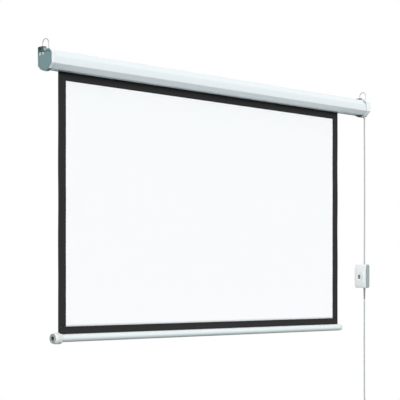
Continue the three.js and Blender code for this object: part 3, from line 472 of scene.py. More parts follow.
sheet_points, sheet_flat = hanging_sheet()
row, column = np.moveaxis(quad_corners(rows - 1, columns - 1)[:, [0, 3, 2, 1]], -1, 0)
sheet_faces = (row * columns + column).tolist()
sheet_mesh = mapped_mesh("screen_sheet", sheet_points, sheet_faces, sheet_flat[row, column])
sheet_nodes = ["viewing_fabric", "black_masking"]
sheet = placed("screen_sheet", sheet_mesh, "case", "white_fabric", sheet_nodes)
cloth_body = sheet.modifiers.new("thickness", "SOLIDIFY")
cloth_body.thickness = cloth_thickness
cloth_body.offset = 0
cloth_body.material_offset = 1
cloth_body.material_offset_rim = 1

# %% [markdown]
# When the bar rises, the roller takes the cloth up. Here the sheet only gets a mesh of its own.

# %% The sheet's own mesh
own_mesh(sheet)

# %% [markdown]
# The last turn of cloth stays on the roller, and its end lies over its start. The border below the
# field runs into the bar and is sewn round a thin rod there. Both are open lines, thickened to the
# cloth and carried along the roller. The hem reaches up over the gap that the plain solids keep.

# %% Cloth on the roller and in the bar
def carried_cloth(name, line, node, body):
    """Cloth along an open line of y and z, as wide as its solid."""
    low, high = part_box(node)
    rings = along_x(thickened(line, cloth_thickness), [low.x, high.x])
    return ringed(name, rings, body, "black_fabric", [node])


wrap_low, wrap_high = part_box("fabric_wrap")
wrap_turns, lap_turn, lap_ramp = np.linspace(0, 1.06, 90), 0.94, 0.05
slow_rise, lap_rise = 0.3 * cloth_thickness, 0.75 * cloth_thickness
wrap_radius = (wrap_high.z - wrap_low.z) / 2 - cloth_thickness / 2
wrap_radius = wrap_radius + slow_rise * np.clip(wrap_turns, 0, 1)
wrap_radius += lap_rise * np.clip((wrap_turns - lap_turn) / lap_ramp, 0, 1)
wrap_line = on_circle(wrap_turns * TURN, wrap_radius) + (middle_of("fabric_wrap")[1], 0)
wrap = carried_cloth("cloth_turn", wrap_line, "fabric_wrap", "roller")

hem_clearance, hem_join, hem_neck = 0.55 * MM, 0.25 * MM, 1.3
rod_low, rod_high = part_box("fabric_spline")
rod_z = middle_of("fabric_spline")[2]
hem_radius = (rod_high.z - rod_low.z) / 2 + hem_clearance
hem_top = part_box("bottom_border")[1].z + hem_join
hem_loop = on_circle(np.radians(np.linspace(100, 440, 40)), hem_radius) + (sheet_y, rod_z)
hem_start = [(sheet_y, hem_top), (sheet_y, rod_z + hem_neck * hem_radius)]
hem_line = np.concatenate([hem_start, hem_loop])
border = carried_cloth("border_hem", hem_line, "bottom_border", "bar")

# %% [markdown]
# ## The bottom bar
# The bar is a thin tube with a slit along its top for the cloth. At its left a turned knob with a
# deep hole takes a pull rod, and at its right a small plug closes it.

# %% Bar
bar_low, bar_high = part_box("bottom_bar")
bar_y, bar_z = middle_of("bottom_bar")[1:]
bar_radius = (bar_high.z - bar_low.z) / 2
bar_gauge, slit_width = 1.5 * MM, 2.4 * MM
line_radius = bar_radius - bar_gauge / 2
slit_angle = math.asin((slit_width / 2 + bar_gauge / 2) / line_radius)
bar_line = on_circle(math.pi / 2 + np.linspace(slit_angle, TURN - slit_angle, 72), line_radius)
inside, outside = np.split(thickened(bar_line, bar_gauge), 2)
lip_turn = np.linspace(math.pi / 2, -math.pi / 2, 9)[1:-1, None]


def round_lip(end, before):
    """Half a circle over the sheet's edge: end + gauge / 2 * (cos t * ahead + sin t * aside)."""
    ahead = unit(end - before)
    aside = np.array([-ahead[1], ahead[0]])
    return end + bar_gauge / 2 * (np.cos(lip_turn) * ahead + np.sin(lip_turn) * aside)


bar_outline = np.concatenate([
    inside, round_lip(bar_line[-1], bar_line[-2]), outside, round_lip(bar_line[0], bar_line[1]),
]) + (bar_y, bar_z)
bar_rings = along_x(bar_outline, np.linspace(bar_low.x, bar_high.x, 5))
ringed("weighted_bar", bar_rings, "bar", "bar_paint", ["bottom_bar"])

# %% [markdown]
# A turned piece is a profile of radius and height that goes once round an axis. The profile starts
# and ends on the axis, so the piece is closed. The knob's sleeve is cut down to a thin lip where the
# cloth comes out of the bar.

# %% Turned pieces
def turned(profile, sides, origin=(0, 0, 0), axis="Z", swell=None):
    """Each profile point (radius, height) becomes a circle of that radius at that height on the
    axis. With swell, the radius is also multiplied by swell(angle, height)."""
    profile = np.asarray(profile, float)
    angle = np.arange(sides) / sides * TURN
    radius = profile[:, 0, None] * np.ones(sides)
    height = profile[:, 1, None] * np.ones(sides)
    if swell is not None:
        radius = radius * swell(angle[None], height)
    flat = [radius * np.cos(angle), radius * np.sin(angle)]
    places = [height, *flat] if axis == "X" else [*flat, height]
    return np.stack(places, axis=-1) + np.asarray(origin, float)


# %% Knob and plug
knob_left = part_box("pull_knob")[0].x
knob_radius, face_radius, flare = 22.5 * MM, 19 * MM, 11 * MM
knob_length, sleeve_end, sleeve_bore = 26 * MM, 36 * MM, bar_radius + 0.3 * MM
notch_start, notch_top, notch_ramp = knob_length + 1.7 * MM, bar_radius + 1.5 * MM, 0.01 * MM
hole_radius, hole_depth = 7.5 * MM, 12 * MM
spigot_radius, spigot_length = 5.5 * MM, 16 * MM
spigot_end = knob_length + spigot_length
groove_inner, groove_outer, groove_depth, groove_wall = 13 * MM, 14 * MM, 0.5 * MM, 0.5 * MM
knob_profile = profile([
    (0, hole_depth), (hole_radius, hole_depth), (hole_radius, 0), (groove_inner - groove_wall, 0),
    (groove_inner, groove_depth), (groove_outer, groove_depth), (groove_outer + groove_wall, 0),
    (face_radius, 0), (knob_radius, flare), (knob_radius, sleeve_end), (sleeve_bore, sleeve_end),
    (sleeve_bore, knob_length), (spigot_radius, knob_length), (spigot_radius, spigot_end),
    (0, spigot_end),
], [0, 1, 0.8, 0.3, 0.2, 0.2, 0.2, 1.8, 4, 1.5, 0.8, 0.4, 0.5, 0.8, 0])
notch_step = [(knob_radius, notch_start), (knob_radius, notch_start + notch_ramp)]
first_beyond = int(np.argmax(knob_profile[:, 1] > notch_start))
knob_profile = np.insert(knob_profile, first_beyond, notch_step, axis=0)
knob_rings = turned(knob_profile, 144, (knob_left, bar_y, bar_z), "X")
in_notch = knob_rings[..., 0] > knob_left + notch_start + notch_ramp / 2
lowered = np.minimum(knob_rings[..., 2], bar_z + notch_top)
knob_rings[..., 2] = np.where(in_notch, lowered, knob_rings[..., 2])
ringed("knob", knob_rings, "bar", "knob_plastic", ["pull_knob"])

end_gap, end_chamfer, rim_share = 0.3 * MM, 0.6 * MM, 0.6
end_start = bar_high.x + end_gap
end_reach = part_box("bar_end_plug")[1].x - end_start
dome = on_circle(np.linspace(0, math.pi / 2, 10), 1) * (bar_radius, end_reach * (1 - rim_share))
end_profile = np.concatenate([
    [(0, -spigot_length), (spigot_radius, -spigot_length), (spigot_radius, 0)],
    [(bar_radius - end_chamfer, 0), (bar_radius, end_chamfer)],
    dome + (0, end_reach * rim_share),
])
end_rings = turned(end_profile, 64, (end_start, bar_y, bar_z), "X")
ringed("bar_plug", end_rings, "bar", "knob_plastic", ["bar_end_plug"])

# %% [markdown]
# ## The carrying bails
# Each bail is one piece of bright wire: two feet that turn in, two legs and an arch. Rounding the
# corners of a plain four-sided line gives both the small bends at the feet and the arch itself. The
# arch's two arcs stay a hair short of each other, so that no two points of the line are the same.

# %% Bails
wire_radius, foot_bend, foot_length, arch_share = 1.5 * MM, 2.4 * MM, 6 * MM, 0.999

for name in ("left_bail", "right_bail"):
    low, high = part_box(name)
    front, rear = low.y + wire_radius, high.y - wire_radius
    pivot, top = low.z + wire_radius, high.z - wire_radius
    arch = (rear - front) / 2 * arch_share
    corners = [(front + foot_length, pivot), (front, pivot), (front, top), (rear, top), (rear, pivot),
               (rear - foot_length, pivot)]
    flat = rounded(corners, [0, foot_bend, arch, arch, foot_bend, 0], steps=16, closed=False)
    line = np.column_stack([np.full(len(flat), middle_of(name)[0]), flat])
    ringed(f"{name}_wire", tube_rings(line, wire_radius, 16, (1, 0, 0)), name, "bail_steel", [name])

# %% [markdown]
# ## Screws
# The heads are shallow domes with a cross sunk into them. A head is a polar grid whose height is a
# formula of its two places across, so the cross is real geometry and not a picture.

# %% Cross-head screws
dome_fall, cross_depth = 0.55, 0.5
cross_reach, cross_half, end_slope, wall_slope = 0.6, 0.13, 12, 14
rim_steps = [(1, 0.12), (0.96, 0)]


def screw_rings(head_radius, head_height, shank_radius, length, sides=48):
    """Rings from the middle of the head outwards, then down its side and the shank. The head's height
    is head * (1 - fall * r^3) with r from 0 to 1, less a cross whose arms fade out at their ends."""
    angle = np.arange(sides) / sides * TURN
    r, a = np.meshgrid(np.linspace(0, 1, 22), angle, indexing="ij")
    across, up = np.abs(r * np.cos(a)), np.abs(r * np.sin(a))

    def arm(along, aside):
        ended = np.clip((cross_reach - along) * end_slope, 0, 1)
        return ended * np.clip((cross_half - aside) * wall_slope + 0.5, 0, 1)

    cross = np.maximum(arm(across, up), arm(up, across))
    height = head_height * (1 - dome_fall * r**3 - cross_depth * cross)
    head = np.stack([height, head_radius * r * np.cos(a), head_radius * r * np.sin(a)], axis=-1)
    rim = np.array(rim_steps) * (head_radius, head_height)
    shank = [(shank_radius, 0), (shank_radius, -length), (0, -length)]
    return np.concatenate([head, turned(np.concatenate([rim, shank]), sides, axis="X")])


def screw(name, seat, ahead, aside, *sizes):
    """A screw whose head stands on its seat and looks along ahead. aside is square to ahead. Its sizes
    are the head's radius and height, the shank's radius and its length."""
    axes = np.stack([ahead, aside, np.cross(ahead, aside)])
    ringed(f"{name}_head", screw_rings(*sizes) @ axes + seat, "case", "screw_steel", [name])


cap_head_radius, cap_head_height, cap_shank_radius = 3.6 * MM, 2.2 * MM, 1.8 * MM
cross_aside, cap_screw_end = (0, 0.94, 0.34), 1 * MM
cap_places = [(end, side, number) for end, side in (("left", -1), ("right", 1)) for number in (1, 2)]

for end, side, number in cap_places:
    name = f"{end}_cap_screw_{number}"
    low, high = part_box(name)
    seat = ((low.x if side < 0 else high.x) - side * cap_head_height, *middle_of(name)[1:])
    length = high.x - low.x - cap_head_height - cap_screw_end
    sizes = (cap_head_radius, cap_head_height, cap_shank_radius, length)
    screw(name, seat, (side, 0, 0), cross_aside, *sizes)

# %% [markdown]
# ## Blocks with rounded edges
# The switch box, its frame and the lugs on the caps are rounded rectangles that change size with
# depth. When a ring moves in by some distance, the corners' centres stay put and their radius gets
# smaller by that distance. That is what a moulded edge does.

# %% Rounded rectangles
def rectangle_rings(steps_in, width, height, corner, arc=6):
    """For each (inset, depth) a ring of points (x, depth, z): corner centre + (corner - inset) * (cos
    a, sin a), a quarter turn at each of the four corners."""
    steps_in = np.asarray(steps_in, float)
    quarter = np.arange(4)[:, None] + np.linspace(0, 1, arc)[None]
    angle = (quarter * math.pi / 2).ravel()
    side_x = np.repeat([1, -1, -1, 1], arc)
    side_z = np.repeat([1, 1, -1, -1], arc)
    radius = corner - steps_in[:, :1]
    x = side_x * (width / 2 - corner) + radius * np.cos(angle)
    z = side_z * (height / 2 - corner) + radius * np.sin(angle)
    depth = np.broadcast_to(steps_in[:, 1:], x.shape)
    return np.stack([x, depth, z], axis=-1)


def edge_steps(edge, depth, towards, count=5):
    """(inset, depth) pairs over a rounded edge: inset = edge * (1 - cos t), depth = edge * (1 - sin t)
    away from the face, for t from a right angle down to 0."""
    t = np.linspace(math.pi / 2, 0, count)
    return np.stack([edge * (1 - np.cos(t)), depth + towards * edge * (1 - np.sin(t))], axis=1)


# %% [markdown]
# The box hangs on the cord, turned so that its front looks to the left of the screen. It is built
# about its own middle and turned as a whole, so that each size stays a plain number.

# %% Where the box hangs
box_width, box_height, box_depth = 78 * MM, 114 * MM, 27 * MM
box_turn = math.radians(-99.6)
cord_aside, cord_behind = 14.9 * MM, 1.1 * MM
box_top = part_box("switch_back_shell")[1].z
turn_cos, turn_sin = math.cos(box_turn), math.sin(box_turn)
box_axes = np.array([(turn_cos, turn_sin, 0), (-turn_sin, turn_cos, 0), (0, 0, 1)])
box_middle = np.array([cord_x, cord_y, box_top - box_height / 2])
box_middle = box_middle - np.array([cord_aside, cord_behind, 0]) @ box_axes


def in_box(rings):
    """Places about the box's own middle, as places in the frame."""
    return rings @ box_axes + box_middle


front, back = -box_depth / 2, box_depth / 2
plate_depth, box_corner, box_edge = 3.5 * MM, 6 * MM, 2 * MM
seam = front + plate_depth
seam_edge = 0.5 * MM
front_sag, flat_share, curve_share = 5 * MM, 0.46, 0.75
print("box middle:", np.round(box_middle, 4))

# %% [markdown]
# The front is flat behind the rocker and falls back towards the top and the bottom. The plate is made
# flat, cut across at a few heights, and then each of its points moves back by the fall at its height.

# %% Front plate
plate_outer = np.concatenate([
    edge_steps(box_edge, front, 1),
    edge_steps(seam_edge, seam, -1)[::-1],
])
hole_width, hole_height, hole_corner = 21.6 * MM, 38.6 * MM, 1.5 * MM
rocker_place = np.array([-6 * MM, 0, -3 * MM])
hole_walls = np.array([(0, seam), (0, front)])
plate_rings = np.concatenate([
    rectangle_rings(plate_outer, box_width, box_height, box_corner),
    rectangle_rings(hole_walls, hole_width, hole_height, hole_corner) + rocker_place,
])
plate = ringed("switch_plate", in_box(plate_rings), "case", "switch_plastic",
               ["switch_front_plate"], endless=True)


def fall_back(mesh):
    """With s = |height| / half the box's height, a point moves back by sag * ((s - flat) / (1 - flat))
    squared beyond the flat part, on straight runs between the flat part, the middle and the end."""
    grid = bmesh.new()
    grid.from_mesh(mesh)
    for share in (-curve_share, -flat_share, flat_share, curve_share):
        level = box_middle[2] + share * box_height / 2
        parts = [*grid.verts, *grid.edges, *grid.faces]
        bmesh.ops.bisect_plane(grid, geom=parts, plane_co=(0, 0, level), plane_no=(0, 0, 1))
    knots = np.array([flat_share, curve_share, 1])
    falls = front_sag * ((knots - flat_share) / (1 - flat_share)) ** 2
    for point in grid.verts:
        share = abs(point.co.z - box_middle[2]) / (box_height / 2)
        point.co += Vector(np.interp(share, knots, falls) * box_axes[1])
    grid.to_mesh(mesh)
    grid.free()
    mesh.set_sharp_from_angle(angle=CREASE)


fall_back(plate.data)

# %% Frame round the rocker
frame_radius, frame_edge, rim_width, dish = 23 * MM, 0.9 * MM, 2.5 * MM, 0.7 * MM
window_width, window_height, window_corner, window_edge = 14.2 * MM, 18.5 * MM, 1.5 * MM, 0.4 * MM
frame_front, frame_foot = front - 1.6 * MM, [(0, front - 0.1 * MM)]
frame_outer = np.concatenate([
    frame_foot,
    edge_steps(frame_edge, frame_front, 1)[::-1],
    [(rim_width, frame_front), (rim_width + dish, frame_front + 0.6 * dish)],
    [(rim_width + 3 * dish, frame_front + dish)],
])
window = np.concatenate([edge_steps(window_edge, frame_front + dish, 1) * (-1, 1), frame_foot])
frame_rings = np.concatenate([
    rectangle_rings(frame_outer, 2 * frame_radius, 2 * frame_radius, frame_radius, arc=12),
    rectangle_rings(window, window_width, window_height, window_corner, arc=12),
])
rocker_frame = ringed("rocker_frame", in_box(frame_rings + rocker_place), "case", "switch_plastic",
                      ["switch_bezel"], endless=True)

# %% [markdown]
# The rocker is a shallow V from the side, so that a finger finds its upper and its lower half. Its
# side view is carried across its width, and the outermost rings are drawn in a little.

# %% Rocker
rocker_width, rocker_half, rocker_edge = 13 * MM, 8.25 * MM, 0.5 * MM
rocker_axis = front + 1.6 * MM
rocker_side = rounded(MM * np.array([
    (-4.6, -8.25), (1.6, -8.25), (3.2, -5.5), (3.2, 5.5), (1.6, 8.25), (-4.6, 8.25), (-3.3, 0),
]), MM * np.array([0.7, 0.6, 0.6, 0.6, 0.6, 0.7, 5]), steps=6)
quarter = on_circle(np.linspace(0, math.pi / 2, 5), 1)
rocker_out = rocker_width / 2 - rocker_edge * (1 - quarter[:, 0])
rocker_shrink = 1 - rocker_edge * (1 - quarter[:, 1]) / rocker_half
rocker_shrink = np.concatenate([rocker_shrink, rocker_shrink[::-1]])
rocker_rings = np.empty((len(rocker_shrink), len(rocker_side), 3))
rocker_rings[..., 0] = np.concatenate([-rocker_out, rocker_out[::-1]])[:, None]
rocker_rings[..., 1:] = rocker_side * rocker_shrink[:, None, None] + (rocker_axis, 0)
ringed("rocker_key", in_box(rocker_rings + rocker_place), "rocker", "rocker_plastic", ["switch_rocker"])

# %% Screws in the box's back
screw_height, screw_sink = 44 * MM, 4.7 * MM
box_screw_sizes = MM * np.array([3, 1.8, 1.5, 12])
for number, side in ((1, 1), (2, -1)):
    seat = in_box(np.array([0, back - screw_sink, side * screw_height]))
    screw(f"switch_screw_{number}", seat, box_axes[1], box_axes[0], *box_screw_sizes)

# %% [markdown]
# ## Reliefs, bush and plug
# A strain relief tapers from the housing to the cord, and rings are moulded into it so that it
# bends evenly. They are turned pieces whose radius has small grooves in it.

# %% Reliefs
ribbed_share, points_per_rib = 0.9, 16


def relief_profile(top_radius, tip_radius, length, ribs, groove):
    """Radius = the straight taper, less a groove * (1 - cos)^2 / 4 between the ribs. The last tenth
    of the length is plain and rounded over."""
    share = np.linspace(0, 1, points_per_rib * ribs + 1)
    taper = top_radius + (tip_radius - top_radius) * share
    wave = (1 - np.cos(share * TURN * (ribs + 0.5) / ribbed_share)) ** 2 / 4
    radius = taper - groove * np.where(share < ribbed_share, wave, 0)
    tip = [(0.93 * tip_radius, -length - 0.35 * MM), (0.45 * cord_diameter, -length - 0.4 * MM)]
    return np.concatenate([np.stack([radius, -share * length], axis=1), tip])


cap_drop, relief_up = 4 * MM, 4 * MM
node_slots = {row["node"]: row["material_slot"] for row in frame["record"]["subparts"]}
for name, node, top, wide, slim, long, ribs, groove in (
    ("box_relief", "box_strain_relief", box_top - box_height, 5.2, 3.9, 54.6, 9, 0.8),
    ("case_relief", "case_cable_relief", casing_low.z - cap_drop, 4.6, 4, 19.6, 3, 0.6),
):
    side = relief_profile(wide * MM, slim * MM, long * MM, ribs, groove * MM)
    side = np.concatenate([[(0, relief_up), (wide * MM, relief_up)], side, [(0, side[-1, 1])]])
    ringed(name, turned(side, 40, (cord_x, cord_y, top)), "case", node_slots[node], [node])

bush_profile = profile(MM * np.array([
    (0, -3.5), (5, -3.5), (5, 0.4), (4.3, 6), (0, 6),
]), [0, 0.4, 1, 1.2, 0])
bush_rings = turned(bush_profile, 40, (cord_x, cord_y, box_top))
ringed("inlet_bush", bush_rings, "case", "cable_sheath", ["box_inlet_bush"])

# %% [markdown]
# The plug is round with two pins. Ribs for the fingers run down its side: the radius swells and
# falls with the angle, and the swelling fades out towards both ends.

# %% Plug
plug_x, plug_y = middle_of("plug_body")[:2]
plug_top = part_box("plug_body")[1].z
plug_radius, plug_long, plug_neck, plug_relief = 18.5 * MM, 34 * MM, 9 * MM, 26 * MM
tip_radius, shoulder = 6.5 * MM, 15 * MM
plug_bottom = -plug_relief - plug_long
finger_ribs, rib_depth, grip_middle, grip_half = 26, 0.035, plug_bottom + 11 * MM, 9 * MM
plug_tip = relief_profile(tip_radius, 4 * MM, plug_relief - 1 * MM, 5, 0.8 * MM)[:-2]
plug_tip = plug_tip * (1, -1) - (0, plug_relief)
plug_side = profile([
    (0, plug_bottom), (plug_radius, plug_bottom), (plug_radius, -plug_relief - shoulder),
    (plug_neck, -plug_relief), (tip_radius, -plug_relief),
], [0, 1.5, 5, 2, 0], steps=8)
plug_profile = np.concatenate([plug_side[:-1], plug_tip, [(0, plug_tip[-1, 1] + 0.3 * MM)]])


def finger_grip(angle, height):
    """1 - depth * (1 - cos(ribs * angle)) / 2, only on the wide part of the body."""
    fade = np.clip(1 - ((height - grip_middle) / grip_half) ** 4, 0, 1)
    return 1 - rib_depth * fade * (1 - np.cos(finger_ribs * angle)) / 2


dense_heights = np.linspace(plug_bottom + 2 * MM, -plug_relief - shoulder - 2 * MM, 12)
ribbed = np.stack([np.full(12, plug_radius), dense_heights], axis=1)
split = int(np.argmin(np.abs(plug_profile[:, 1] - (plug_bottom + 1.6 * MM)))) + 1
plug_profile = np.insert(plug_profile, split, ribbed, axis=0)
plug_rings = turned(plug_profile, 156, (plug_x, plug_y, plug_top), swell=finger_grip)
plug = ringed("mains_plug", plug_rings, "case", "plug_rubber", ["plug_body"])

pin_profile = profile(MM * np.array([(0, -23), (2.4, -23), (2.4, 0), (0, 0)]), [0, 1.2, 0.2, 0])
for number in (1, 2):
    node = f"plug_pin_{number}"
    pin_rings = turned(pin_profile, 32, (*middle_of(node)[:2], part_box(node)[1].z))
    ringed(f"pin_{number}", pin_rings, "case", "pin_steel", [node])

# %% [markdown]
# The box hangs on the upper length of the cord, and the plug ends the lower one.

# %% [markdown]
# ## The caps' lugs
# On the sunk grey face of each cap two tall oval lugs surround the screws. They are the same rounded
# rectangle as before, with corners as round as they can be, set on the cover.

# %% Lugs
lug_width, lug_height, lug_depth, lug_edge = 8.6 * MM, 15.4 * MM, 1.4 * MM, 0.6 * MM
lug_drop, lug_root, under_head = 2.3 * MM, 1 * MM, 0.3 * MM

for end, side, number in cap_places:
    node = f"{end}_cap_screw_{number}"
    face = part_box(node)[0 if side < 0 else 1].x - side * (cap_head_height + under_head)
    steps_out = np.concatenate([[(0, lug_root)], edge_steps(lug_edge, -lug_depth, 1)[::-1]])
    rings = rectangle_rings(steps_out, lug_width, lug_height, lug_width / 2, arc=10)
    place = np.stack([face - side * rings[..., 1], rings[..., 0], rings[..., 2]], axis=-1)
    centre = (0, middle_of(node)[1], middle_of(node)[2] - lug_drop)
    ringed(f"{end}_lug_{number}", place + centre, "case", "adjuster_plastic")

# %% [markdown]
# ## Softer edges on the solids that stay
# The caps, their covers and the works inside keep their plain solids. Their meshes may not change,
# but modifiers may sit on them: Weld joins the loose triangles, a planar Decimate turns them back
# into whole faces, and Bevel breaks each sharp edge as a mould does.

# %% Break the edges
def broken_edges(node, width):
    """Whole faces again, and each sharp edge broken by the width."""
    piece = frame["nodes"][node]
    weld = piece.modifiers.new("weld", "WELD")
    weld.merge_threshold = 0.01 * MM
    whole = piece.modifiers.new("whole faces", "DECIMATE")
    whole.decimate_type = "DISSOLVE"
    whole.angle_limit = math.radians(1)
    edge = piece.modifiers.new("edge", "BEVEL")
    edge.width = width
    edge.segments = 2
    edge.limit_method = "ANGLE"
    edge.angle_limit = math.radians(40)
    edge.use_clamp_overlap = True


for node in ("left_end_cap", "right_end_cap", "switch_back_shell"):
    broken_edges(node, 0.5 * MM)
for node in ("left_cap_cover", "right_cap_cover", "coil_tie", "limit_screw_up", "limit_screw_down"):
    broken_edges(node, 0.25 * MM)

# %% [markdown]
# ## Finishes
# Each finish is one principled shader. What varies over the surface comes from node groups that all
# finishes share: a fine grain that stirs the colour, the roughness and the height, and a veil of dust
# that lies on whatever faces up. Constants stay on the shader's own sockets.

# %% Node helpers
def colour(red, green, blue):
    """Screen values from 0 to 255 as the linear colour that Blender works in."""
    share = np.array([red, green, blue]) / 255
    linear = np.where(share <= 0.04045, share / 12.92, ((share + 0.055) / 1.055) ** 2.4)
    return (*linear.tolist(), 1.0)


def fed(tree, node, sources):
    """Gives each input, by name or by number, its value or the socket that feeds it."""
    for key, source in sources.items():
        if isinstance(source, bpy.types.NodeSocket):
            tree.links.new(source, node.inputs[key])
        else:
            node.inputs[key].default_value = source


def added(tree, kind, sources=None, **settings):
    """A node with its settings and its sources."""
    made = tree.nodes.new(kind)
    for key, value in settings.items():
        setattr(made, key, value)
    fed(tree, made, sources or {})
    return made


def group(name, takes, gives):
    """An empty node group: its tree, the sockets of its input node, and its output node."""
    tree = bpy.data.node_groups.new(name, "ShaderNodeTree")
    for direction, sockets in (("INPUT", takes), ("OUTPUT", gives)):
        for title, kind in sockets:
            tree.interface.new_socket(name=title, in_out=direction, socket_type=f"NodeSocket{kind}")
    return tree, tree.nodes.new("NodeGroupInput").outputs, tree.nodes.new("NodeGroupOutput")


def maths(tree, operation, first, second=0.0, third=0.0, clamp=False):
    """One step of reckoning with numbers."""
    sources = {0: first, 1: second, 2: third}
    return added(tree, "ShaderNodeMath", sources, operation=operation, use_clamp=clamp).outputs[0]


def vector_maths(tree, operation, *sources, **named):
    """One step with vectors: a number for a length or a dot product, and a vector otherwise."""
    sources = {**dict(enumerate(sources)), **named}
    made = added(tree, "ShaderNodeVectorMath", sources, operation=operation)
    return made.outputs["Value" if operation in ("LENGTH", "DOT_PRODUCT") else "Vector"]


def apart(tree, vector):
    """The three numbers of a vector, by the letters of their axes."""
    return added(tree, "ShaderNodeSeparateXYZ", {0: vector}).outputs


def ranged(tree, value, low, high, to_low=0.0, to_high=1.0, **settings):
    """The way of a value from low to high, told from to_low to to_high and held between them."""
    sources = {"Value": value, "From Min": low, "From Max": high, "To Min": to_low, "To Max": to_high}
    return added(tree, "ShaderNodeMapRange", sources, **settings).outputs[0]


def noise(tree, place, scale, detail, roughness=0.5):
    """Soft noise from 0 to 1 over a place."""
    sources = {"Vector": place, "Scale": scale, "Detail": detail, "Roughness": roughness}
    return added(tree, "ShaderNodeTexNoise", sources).outputs["Fac"]


def overlaid(tree, factor, under, over):
    """A colour over another one, by a factor. The colours are the mixer's inputs 6 and 7."""
    sources = {"Factor": factor, 6: under, 7: over}
    return added(tree, "ShaderNodeMix", sources, data_type="RGBA").outputs[2]


# %% Grain, shared by all moulded and painted pieces
fine_share, broad_share, roughness_stir = 0.35, 0.65, 1.2
grain, grain_in, grain_out = group(
    "moulded grain",
    [("Place", "Vector"), ("Colour", "Color"), ("Grain size", "Float"), ("Variation", "Float"),
     ("Roughness", "Float")],
    [("Colour", "Color"), ("Roughness", "Float"), ("Height", "Float")],
)
fine = noise(grain, grain_in["Place"], maths(grain, "DIVIDE", 1.0, grain_in["Grain size"]), 2.0)
broad = noise(grain, grain_in["Place"], 9.0, 5.0, 0.6)
both = maths(grain, "MULTIPLY_ADD", fine, fine_share, maths(grain, "MULTIPLY", broad, broad_share))
stir = maths(grain, "MULTIPLY", maths(grain, "SUBTRACT", both, 0.5), grain_in["Variation"])
fed(grain, grain_out, {
    "Colour": vector_maths(grain, "SCALE", grain_in["Colour"], Scale=maths(grain, "ADD", stir, 1.0)),
    "Roughness": maths(grain, "MULTIPLY_ADD", stir, roughness_stir, grain_in["Roughness"], clamp=True),
    "Height": fine,
})
print("grain nodes:", len(grain.nodes))

# %% Dust, on whatever faces up
dust_grey, dust_by_facing, dust_all_round = colour(176, 172, 164), 0.55, 0.3
patch_start, patch_end = 0.35, 0.75
dust, dust_in, dust_out = group(
    "settled dust",
    [("Place", "Vector"), ("Normal", "Vector"), ("Colour", "Color"), ("Amount", "Float")],
    [("Colour", "Color")],
)
upward = apart(dust, dust_in["Normal"])["Z"]
facing = maths(dust, "MULTIPLY_ADD", upward, dust_by_facing, dust_all_round, clamp=True)
patches = ranged(dust, noise(dust, dust_in["Place"], 26.0, 6.0, 0.65), patch_start, patch_end)
veil = maths(dust, "MULTIPLY", maths(dust, "MULTIPLY", facing, patches), dust_in["Amount"], clamp=True)
fed(dust, dust_out, {"Colour": overlaid(dust, veil, dust_in["Colour"], dust_grey)})
print("dust nodes:", len(dust.nodes))

# %% Weave, for the cloth
slub_scale = (60, 2.5, 1)
weave, weave_in, weave_out = group(
    "cloth weave",
    [("Place", "Vector"), ("Thread", "Float")],
    [("Height", "Float"), ("Shade", "Float")],
)
flat_place = apart(weave, weave_in["Place"])
per_metre = maths(weave, "DIVIDE", math.pi, weave_in["Thread"])
warp, weft = [
    maths(weave, "ABSOLUTE", maths(weave, "SINE", maths(weave, "MULTIPLY", flat_place[axis], per_metre)))
    for axis in "XY"
]
streaks = added(weave, "ShaderNodeMapping", {"Vector": weave_in["Place"], "Scale": slub_scale})
fed(weave, weave_out, {
    "Height": maths(weave, "MULTIPLY", warp, weft),
    "Shade": noise(weave, streaks.outputs[0], 1.0, 4.0),
})
print("weave nodes:", len(weave.nodes))

# %% One finish from its values
finishes, relief_depth, weave_depth = {}, 0.1 * MM, 0.08 * MM


def place_of(tree, kind):
    """Object coordinates, the normal, or the piece's own flat map."""
    return tree.nodes["place"].outputs[kind]


def with_group(tree, shared, sources):
    """The outputs of a shared group placed in a finish."""
    return added(tree, "ShaderNodeGroup", sources, node_tree=shared).outputs


def new_finish(slot, metallic, specular):
    """A material, kept under its slot, with its shader's constants and a node named place."""
    material = bpy.data.materials.new(slot)
    material.use_nodes = True
    tree = material.node_tree
    shader = tree.nodes["Principled BSDF"]
    fed(tree, shader, {"Metallic": metallic, "Specular IOR Level": specular})
    added(tree, "ShaderNodeTexCoord").name = "place"
    finishes[slot] = material
    return tree, shader


def surfaced(tree, shader, base, roughness, height, relief, distance):
    """Gives a shader its colour, its roughness and a relief from a height."""
    bump = added(tree, "ShaderNodeBump", {"Strength": relief, "Distance": distance, "Height": height})
    fed(tree, shader, {"Base Color": base, "Roughness": roughness, "Normal": bump.outputs[0]})


def finish(slot, base, roughness, grain_size, relief, variation=0.06, dustiness=0.1, metallic=0.0,
           specular=0.5, masked=None, coordinates="Object"):
    """A moulded, painted or metal finish: grain, then dust, then the shader. masked may repaint part
    of the surface before the dust settles."""
    tree, shader = new_finish(slot, metallic, specular)
    body = with_group(tree, grain, {
        "Place": place_of(tree, coordinates), "Colour": masked(tree, base) if masked else base,
        "Grain size": grain_size, "Variation": variation, "Roughness": roughness,
    })
    top = with_group(tree, dust, {
        "Place": place_of(tree, "Object"), "Normal": place_of(tree, "Normal"),
        "Colour": body["Colour"], "Amount": dustiness,
    })
    surfaced(tree, shader, top["Colour"], body["Roughness"], body["Height"], relief, relief_depth)
